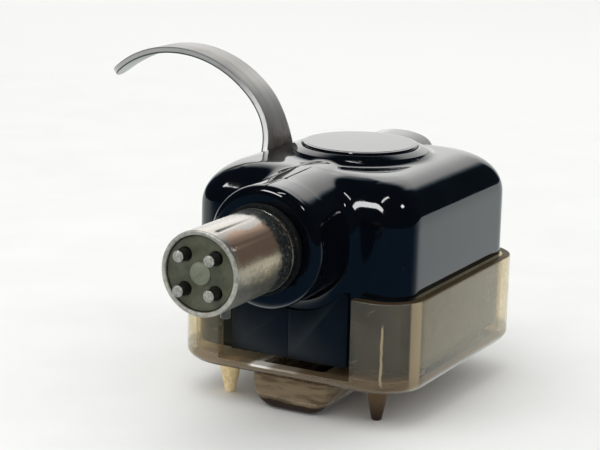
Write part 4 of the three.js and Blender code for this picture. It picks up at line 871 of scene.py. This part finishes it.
def boss_ring():
    """The crisp ring round the cap: a narrow flat, then a slope down to a rounded edge."""
    outline = [
        (CAP_HOLE_RADIUS, 23.5),
        (CAP_HOLE_RADIUS, BOSS_TOP, 0.06),
        (6.2, BOSS_TOP, 0.1),
        (7.0, BOSS_TOP - 0.34, 0.3),
        (BOSS_RADIUS, 24.1, 0.2),
        (BOSS_RADIUS, 23.5),
    ]
    return turned("ring", eased(outline), "z", BOSS_AXIS, 128, ring=True)


def parting_seam():
    """The fine raised line that the mould left along the top of the neck and the ridge."""
    half, depth = 0.07, 0.4
    line = [(-11.6, 23.93), (-8.5, 23.96), (-7, 24.02), (-5.5, 24.1)]
    line += [(-4, 24.16), (-2.5, 24.16), (-0.5, 24.11)]
    seam = block((-half, line[0][0], line[0][1] - depth), (half, line[1][0], line[0][1]), "seam")
    edit()
    pick(seam, "FACE", lambda face: face.normal.y > 0.9)
    for last, here in zip(line[1:], line[2:]):
        extrude(vec(0, here[0] - last[0], here[1] - last[1]))
    leave()
    soften(seam, 0.05)
    return seam


def shell_hollow():
    """What is taken out of the shell from below; the posts are left standing."""
    half = SHELL_HALF - SHELL_WALL
    low = (-half, SHELL_REAR + SHELL_WALL, SHELL_BOTTOM - 1)
    high = (half, SHELL_FRONT - SHELL_WALL, CEILING)
    hollow = soft_box("hollow", low, high, SHELL_CORNER - SHELL_WALL, SHELL_TOP_ROUND - SHELL_WALL)
    boss_post = rod(4.5, 20.55, 23, "z", BOSS_AXIS)
    lift_post = rod(1.8, 21.35, 23, "z", LIFT_SCREW, 32)
    cover_posts = [rod(1.7, 6.3, 23, "z", place, 32) for place in COVER_SCREWS]
    cut(hollow, boss_post, lift_post, *cover_posts)
    return hollow


def make_shell():
    body = shell_outside()
    join(body, boss_ring(), neck_rim(), parting_seam())
    pit = ball("pit", 0.26, (0.12, -8, 24.07), 24)
    hollow = shell_hollow()
    sleeve_bore = rod(4.05, COLLAR - 1, -3.3, "y", PLUG_AXIS, 96)
    cap_hole = rod(CAP_HOLE_RADIUS, CAP_FLOOR, 26, "z", BOSS_AXIS, 128)
    screw_seat = rod(2.2, 22.25, BOSS_TOP, "z", BOSS_AXIS)
    screw_bore = rod(1.0, 19.5, BOSS_TOP, "z", BOSS_AXIS)
    lift_slot = block((-9.93, 4.73, 18.15), (-9.15, 10.67, 24.85))
    lift_bore = rod(SCREW_HOLE, 20.3, 23.2, "z", LIFT_SCREW, 24)
    set_screw_bore = rod(0.85, 10.9, PLUG_HEIGHT, "z", (0, -9.3, 0), 32)
    cover_bores = [rod(SCREW_HOLE, SHELL_BOTTOM, 10.5, "z", place, 24) for place in COVER_SCREWS]
    cut(body, pit, hollow, sleeve_bore, cap_hole, screw_seat, screw_bore, lift_slot, lift_bore)
    cut(body, set_screw_bore, *cover_bores)
    finish_piece(body, "headshell", "black_shell", "shell", degrees=40)


def make_cap():
    rim_top = 24.95
    outline = [
        (5.7, CAP_FLOOR + 0.02),
        (CAP_RADIUS, 23.9),
        (CAP_RADIUS, rim_top, 0.22),
        (5.6, rim_top, 0.1),
        (5.52, 24.99, 0.05),
        (5.3, 25.0),
    ]
    cap = turned("cap_disc", eased(outline, 3), "z", BOSS_AXIS, 128)
    finish_piece(cap, "headshell", "black_shell", "top_cap", degrees=25)


# Plug


def make_sleeve():
    bead, bead_height = -13.35, 0.05
    outline = [
        (SLEEVE_INSIDE, SLEEVE_FRONT),
        (SLEEVE_INSIDE, PLUG_END, 0.12),
        (SLEEVE_OUTSIDE, PLUG_END, 0.2),
        (SLEEVE_OUTSIDE, bead - 0.12),
        (SLEEVE_OUTSIDE + bead_height, bead - 0.05),
        (SLEEVE_OUTSIDE + bead_height, bead + 0.03),
        (SLEEVE_OUTSIDE, bead + 0.08),
        (SLEEVE_OUTSIDE, SLEEVE_FRONT),
    ]
    sleeve = turned("plug_sleeve", eased(outline), "y", PLUG_AXIS, 128, ring=True)
    dent_radius, dent_reach, dent_y = 0.6, 4.52, -22.4
    dents = []
    for angle in (math.radians(17), math.radians(49)):
        place = (dent_reach * math.sin(angle), dent_y, PLUG_HEIGHT + dent_reach * math.cos(angle))
        dents.append(ball("dent", dent_radius, place, 32))
    pin_foot = (0, LOCATING_PIN_Y, PLUG_HEIGHT)
    cut(sleeve, rod(0.55, -5.5, 0, "z", pin_foot, 32), *dents)
    finish_piece(sleeve, "headshell", "plug_nickel", "connector_sleeve")
    outline = eased([(0.25, -5.2), (0.5, -5.2, 0.12), (0.5, -3.15)])
    peg = turned("locating_peg", outline, "z", pin_foot, 32)
    finish_piece(peg, "headshell", "plug_nickel", "locating_pin")


def make_gasket():
    outline = [(4.05, -12.92), (4.4, -12.92, 0.12), (4.4, -12.22, 0.12), (4.05, -12.22)]
    gasket = turned("neck_gasket", eased(outline), "y", PLUG_AXIS, 96, ring=True)
    finish_piece(gasket, "headshell", "gasket_rubber", "collar_gasket")


def make_insulator():
    outline = eased([(3.2, -23.2), (3.5, -23.2, 0.12), (3.5, -20.1)])
    disc = turned("plug_insulator", outline, "y", PLUG_AXIS, 96)
    pin_hole = [(0.72, -24), (0.72, -23.15), (0.61, -23.05), (0.61, -19)]
    pin_holes = [turned("tool", pin_hole, "y", place, 40) for place in PIN_PLACES]
    cut(disc, rod(SCREW_HOLE, -24, -19, "y", PLUG_AXIS, 32), *pin_holes)
    finish_piece(disc, "headshell", "insulator_plastic", "connector_insulator")
    outline = [(0.85, -23.36), (1.05, -23.30), (1.05, -23.22), (0.6, -23.22), (0.6, -20.1)]
    rivet = turned("centre_rivet", outline, "y", PLUG_AXIS, 48)
    light = insulator_plastic("rivet_plastic", (0.150, 0.170, 0.115), (0.210, 0.230, 0.165))
    finish_piece(rivet, "headshell", "insulator_plastic", "insulator_rivet", material=light)


def make_pins():
    steel = pin_nickel()
    outline = [(0.22, -24.6), (0.42, -24.57), (0.52, -24.5), (0.56, -24.4), (0.56, -19.1)]
    for number, place in enumerate(PIN_PLACES, 1):
        pin = turned(f"plug_pin_{number}", outline, "y", place, 40)
        finish_piece(pin, "headshell", "plug_nickel", f"contact_pin_{number}", material=steel)


# Label


def make_label():
    label = block((-6.75, -5.87, 5.45), (6.05, -5.62, 12.85), "label_foil")
    crease = block((-0.47, -6, 5), (-0.41, -5.82, 14))
    cut(label, rod(7.45, -8, -4, "y", PLUG_AXIS, 96), crease)
    soften(label, 0.03)
    finish_piece(label, "headshell", "label_foil", "label_plate")


# Finger lift


def lift_width(run, end):
    """The strip's width after a run along it: flared at its foot, tapered and rounded at its end."""
    flare = max(0, 1 - run / 4.1)
    taper = max(0, 1 - (end - run) / 10.3)
    tip = max(0, 1 - (end - run) / LIFT_TIP)
    return 4 + 1.7 * flare**2 - 1.9 * taper**2 - 1.8 * (1 - math.sqrt(1 - tip**2))


def make_lift():
    foot_end, foot_run, foot_bend, bend_steps = -4.94, 3.4, 1.2, 10
    lift = plate("lift_blade", (foot_end, LIFT_Y, LIFT_Z), 5.7, LIFT_THICK, "x")
    extrude(vec(-foot_run, 0, 0))
    for _ in range(bend_steps):
        extrude()
        swing(math.radians(90 / bend_steps), "Y", vec(LIFT_X + foot_bend, 0, LIFT_Z + foot_bend))
    extrude(vec(0, 0, 0.92))
    resize((1 + LIFT_EXTRA / LIFT_THICK, 1, 1), vec(LIFT_X + LIFT_THICK / 2, LIFT_Y, 0))
    first_run = LIFT_RADII[0] * LIFT_JOINT
    end = first_run + LIFT_RADII[1] * LIFT_REACH
    width = lift_width(0, end)
    run = 0
    tip_start = end - LIFT_TIP
    low_steps, high_steps, tip_steps = 24, 40, 8
    stops = [first_run * step / low_steps for step in range(1, low_steps + 1)]
    stops += [first_run + (tip_start - first_run) * step / high_steps for step in range(1, high_steps + 1)]
    stops += [
        end - LIFT_TIP * (1 - math.sin(math.pi / 2 * step / tip_steps)) for step in range(1, tip_steps + 1)
    ]
    for number, stop in enumerate(stops):
        arc = int(number >= low_steps)
        centre_x, centre_z = LIFT_CENTRES[arc]
        extrude()
        swing(-(stop - run) / LIFT_RADII[arc], "Y", vec(centre_x, 0, centre_z))
        next_width = lift_width(stop, end)
        resize((1, next_width / width, 1), vec(0, LIFT_Y, 0))
        run, width = stop, next_width
    leave()
    outward(lift)
    cut(lift, rod(SCREW_HOLE, 20, 22, "z", LIFT_SCREW, 24))
    soften(lift, 0.13, 50, 3)
    finish_piece(lift, "headshell", "lift_steel", "finger_lift")
    lift.data.materials.append(lift_edge_glint_and_shade())
    for face in lift.data.polygons:
        face.material_index = int(abs(face.normal.y) > 0.5)


# Bottom cover


def make_cover():
    cover = soft_box("cover_plate", (-10.4, -4.1, 5.5), (10.4, 18.1, 6.25), 1.6, bottom=0.15, steps=3)
    window = soft_box("window", (-3.2, 2.5, 5), (3.2, 17.3, 7), 0.4, corner_steps=4)
    sunk_hole = [(1.3, 5), (1.3, 5.9), (SCREW_HOLE, 5.9), (SCREW_HOLE, 7)]
    screws = [turned("tool", sunk_hole, "z", place, 32) for place in COVER_SCREWS]
    cut(cover, window, *screws)
    soften(cover, 0.06)
    finish_piece(cover, "headshell", "carrier_plastic", "bottom_cover")


# Guard


def trough(name, wall, top):
    """The boat under the tray: a cross section extruded forwards, narrower and higher towards its nose."""
    rear, front = TROUGH_REAR + wall, TROUGH_FRONT - wall
    foot_end = TROUGH_REAR + TROUGH_FOOT
    edge = TROUGH_END_ROUND - wall / 2

    def section(y, inset):
        rise = min(1, max(0, (y - foot_end) / (front - foot_end)))
        narrowing = min(1, max(0, (y - rear) / (front - rear)))
        half = (TROUGH_WIDTH - TROUGH_NARROWING * narrowing**2) / 2 - wall - inset
        return y, half, TROUGH_RISE * rise**2 + wall + inset

    quarter_steps, slope_steps = 5, 14
    quarter = [math.pi / 2 * step / quarter_steps for step in range(quarter_steps + 1)]
    slope = front - edge - foot_end
    stations = [
        section(rear + edge * (1 - math.cos(angle)), edge * (1 - math.sin(angle))) for angle in quarter
    ]
    stations += [section(foot_end + slope * step / slope_steps, 0) for step in range(slope_steps + 1)]
    stations += [
        section(front - edge * (1 - math.sin(angle)), edge * (1 - math.cos(angle))) for angle in quarter[1:]
    ]
    y, half, bottom = stations[0]
    made = plate(name, (0, y, (bottom + top) / 2), 2 * half, top - bottom, "y")
    pick(made, "VERT", lambda vert: vert.co.z < (bottom + 0.1) * MM)
    radius = max(TROUGH_ROUND - wall, wall / 2)
    bpy.ops.mesh.bevel(offset=radius * MM, segments=8, affect="VERTICES")
    bpy.ops.mesh.select_all(action="SELECT")
    for next_y, next_half, next_bottom in stations[1:]:
        extrude(vec(0, next_y - y, 0))
        scale = (next_half / half, 1, (top - next_bottom) / (top - bottom))
        resize(scale, vec(0, next_y, top))
        y, half, bottom = next_y, next_half, next_bottom
    leave()
    outward(made)
    return made


def make_guard():
    guard = soft_box(
        "guard_tray",
        (-GUARD_HALF, GUARD_REAR, GUARD_BOTTOM),
        (GUARD_HALF, GUARD_FRONT, GUARD_TOP),
        GUARD_CORNER,
        top=0.2,
        bottom=GUARD_FOOT_ROUND,
        corner_steps=14,
    )
    inside = soft_box(
        "inside",
        (GUARD_WALL - GUARD_HALF, GUARD_REAR + GUARD_END_WALL, GUARD_FLOOR),
        (GUARD_HALF - GUARD_WALL, GUARD_FRONT - GUARD_END_WALL, GUARD_TOP + 1),
        GUARD_CORNER - GUARD_END_WALL,
        bottom=0.5,
        corner_steps=14,
    )
    neck_opening = block((-7.55, GUARD_REAR - 1, GUARD_FLOOR + 0.12), (7.05, SHELL_REAR, GUARD_TOP + 1.2))
    cut(guard, inside, neck_opening)
    outline = eased([(0.2, 0), (0.5, 0, 0.2), (1.25, GUARD_BOTTOM), (1.25, 4)])
    pegs = [turned("peg", outline, "z", place, 48) for place in GUARD_PEGS]
    rails = [block((-12.75, -1, 4.02), (-11, 15, 5.25)), block((11, -1, 4.02), (12.75, 15, 5.25))]
    join(guard, *pegs, *rails, trough("trough", 0, TROUGH_TOP))
    cut(guard, trough("trough_inside", TROUGH_WALL, 5.4))
    soften(guard, 0.08, 50, 2)
    finish_piece(guard, "guard", "guard_amber", "stylus_guard")


make_shell()
make_cap()
make_sleeve()
make_gasket()
make_insulator()
make_pins()
make_label()
make_lift()
make_cover()
make_guard()

# The nodes that keep their CAD mesh
for part in frame["record"]["subparts"]:
    node = frame["nodes"][part["node"]]
    for slot in node.material_slots:
        slot.material = FINISHES[part["material_slot"]]


# Floor, light and world
LAMPS_AIM = vec(3, 0, 18)


def floor_finish():
    """A pale table; what glossy surfaces see of it is bright behind the object and dark in front."""
    f = new_finish("pale_floor")
    spot = f.spot()
    x, y = f.along("X", spot), f.along("Y", spot)
    paths = f.node("ShaderNodeLightPath")
    grain = f.noise(14, 3, 0.5)
    colour = f.mix(grain.step(0.3, 0.7), (0.85, 0.853, 0.832), (0.88, 0.883, 0.862))
    # Painted light: the table is paler towards the back.
    colour = f.mix(y.step(20, 260), colour, (0.955, 0.96, 0.935))
    table = f.principled(colour, 0.7, normal=f.bump(grain, 0.05), constants={"Specular IOR Level": 0.1})
    bearing = (x - SHELL_HALF).math("ARCTAN2", y - SHELL_REAR) * DEGREES
    behind = bearing.step(75, 20) * bearing.step(-150, -100)
    tone = f.mix(behind ** 1.5, (0.05, 0.12, 0.22), (0.98, 1.06, 1.06))
    mirrored = f.node("ShaderNodeEmission", {}, {"Color": tone})()
    return f.done(f.node("ShaderNodeMixShader", {}, {0: paths("Is Glossy Ray"), 1: table, 2: mirrored})())


def add_floor():
    floor = start("floor", bpy.ops.mesh.primitive_plane_add, size=6, location=(0, 0, 0))
    floor.data.materials.append(floor_finish())


def room_light():
    """White to the camera; to glossy surfaces a dark room with a bright wall behind the object."""
    f = Finish(bpy.data.worlds.new("room"))
    paths = f.node("ShaderNodeLightPath")
    facing = f.node("ShaderNodeTexCoord")("Generated")
    x, y, z = (f.along(axis, facing) for axis in "XYZ")
    bearing = x.math("ARCTAN2", y) * DEGREES
    wall = z.step(0.10, 0.40, 1.5, 2.4) * z.step(0.80, 0.64)
    wall = wall * bearing.step(13, 3) * bearing.step(-62, -42) * bearing.step(15, -32, 0.55, 1)
    level = 0.035 + wall
    tone = f.mix(wall.least(1), (0.45, 0.78, 1.0), (1, 1, 0.985))
    mirrored = f.node("ShaderNodeBackground", {}, {"Color": tone, "Strength": level})()
    even = f.node("ShaderNodeBackground", {}, {"Color": (1, 1, 1, 1), "Strength": 0.92})()
    seen = f.node("ShaderNodeBackground", {}, {"Color": (0.98, 0.985, 0.95, 1), "Strength": 1.0})()
    inside = f.node("ShaderNodeMixShader", {}, {0: paths("Is Glossy Ray"), 1: even, 2: mirrored})()
    whole = f.node("ShaderNodeMixShader", {}, {0: paths("Is Camera Ray"), 1: inside, 2: seen})()
    bpy.context.scene.world = f.done(whole)


def add_lamp(name, bearing, height, far, size, radiance, mirrored=True):
    """A flat lamp turned to the object, which either lights it or is mirrored in it; angles in degrees."""
    bearing, height = math.radians(bearing), math.radians(height)
    level = math.cos(height)
    toward = Vector((math.sin(bearing) * level, math.cos(bearing) * level, math.sin(height)))
    spot = LAMPS_AIM + toward * far * MM
    data = bpy.data.lights.new(name, "AREA")
    data.shape = "RECTANGLE"
    data.size, data.size_y = size[0] * MM, size[1] * MM
    data.energy = radiance * math.pi * data.size * data.size_y
    lamp = bpy.data.objects.new(name, data)
    bpy.context.scene.collection.objects.link(lamp)
    lamp.matrix_world = Matrix.Translation(spot) @ (-toward).to_track_quat("-Z", "Y").to_matrix().to_4x4()
    lamp.visible_glossy = mirrored
    lamp.visible_diffuse = not mirrored


add_floor()
room_light()
add_lamp("soft_top", bearing=200, height=68, far=320, size=(260, 260), radiance=1.6, mirrored=False)
add_lamp("window_strip", bearing=-154, height=43, far=500, size=(200, 105), radiance=15)
add_lamp("side_spot", bearing=82, height=58, far=500, size=(70, 55), radiance=18)
add_lamp("overhead_tube", bearing=-158, height=78, far=500, size=(26, 260), radiance=14)

bpy.context.scene.view_settings.view_transform = "Standard"
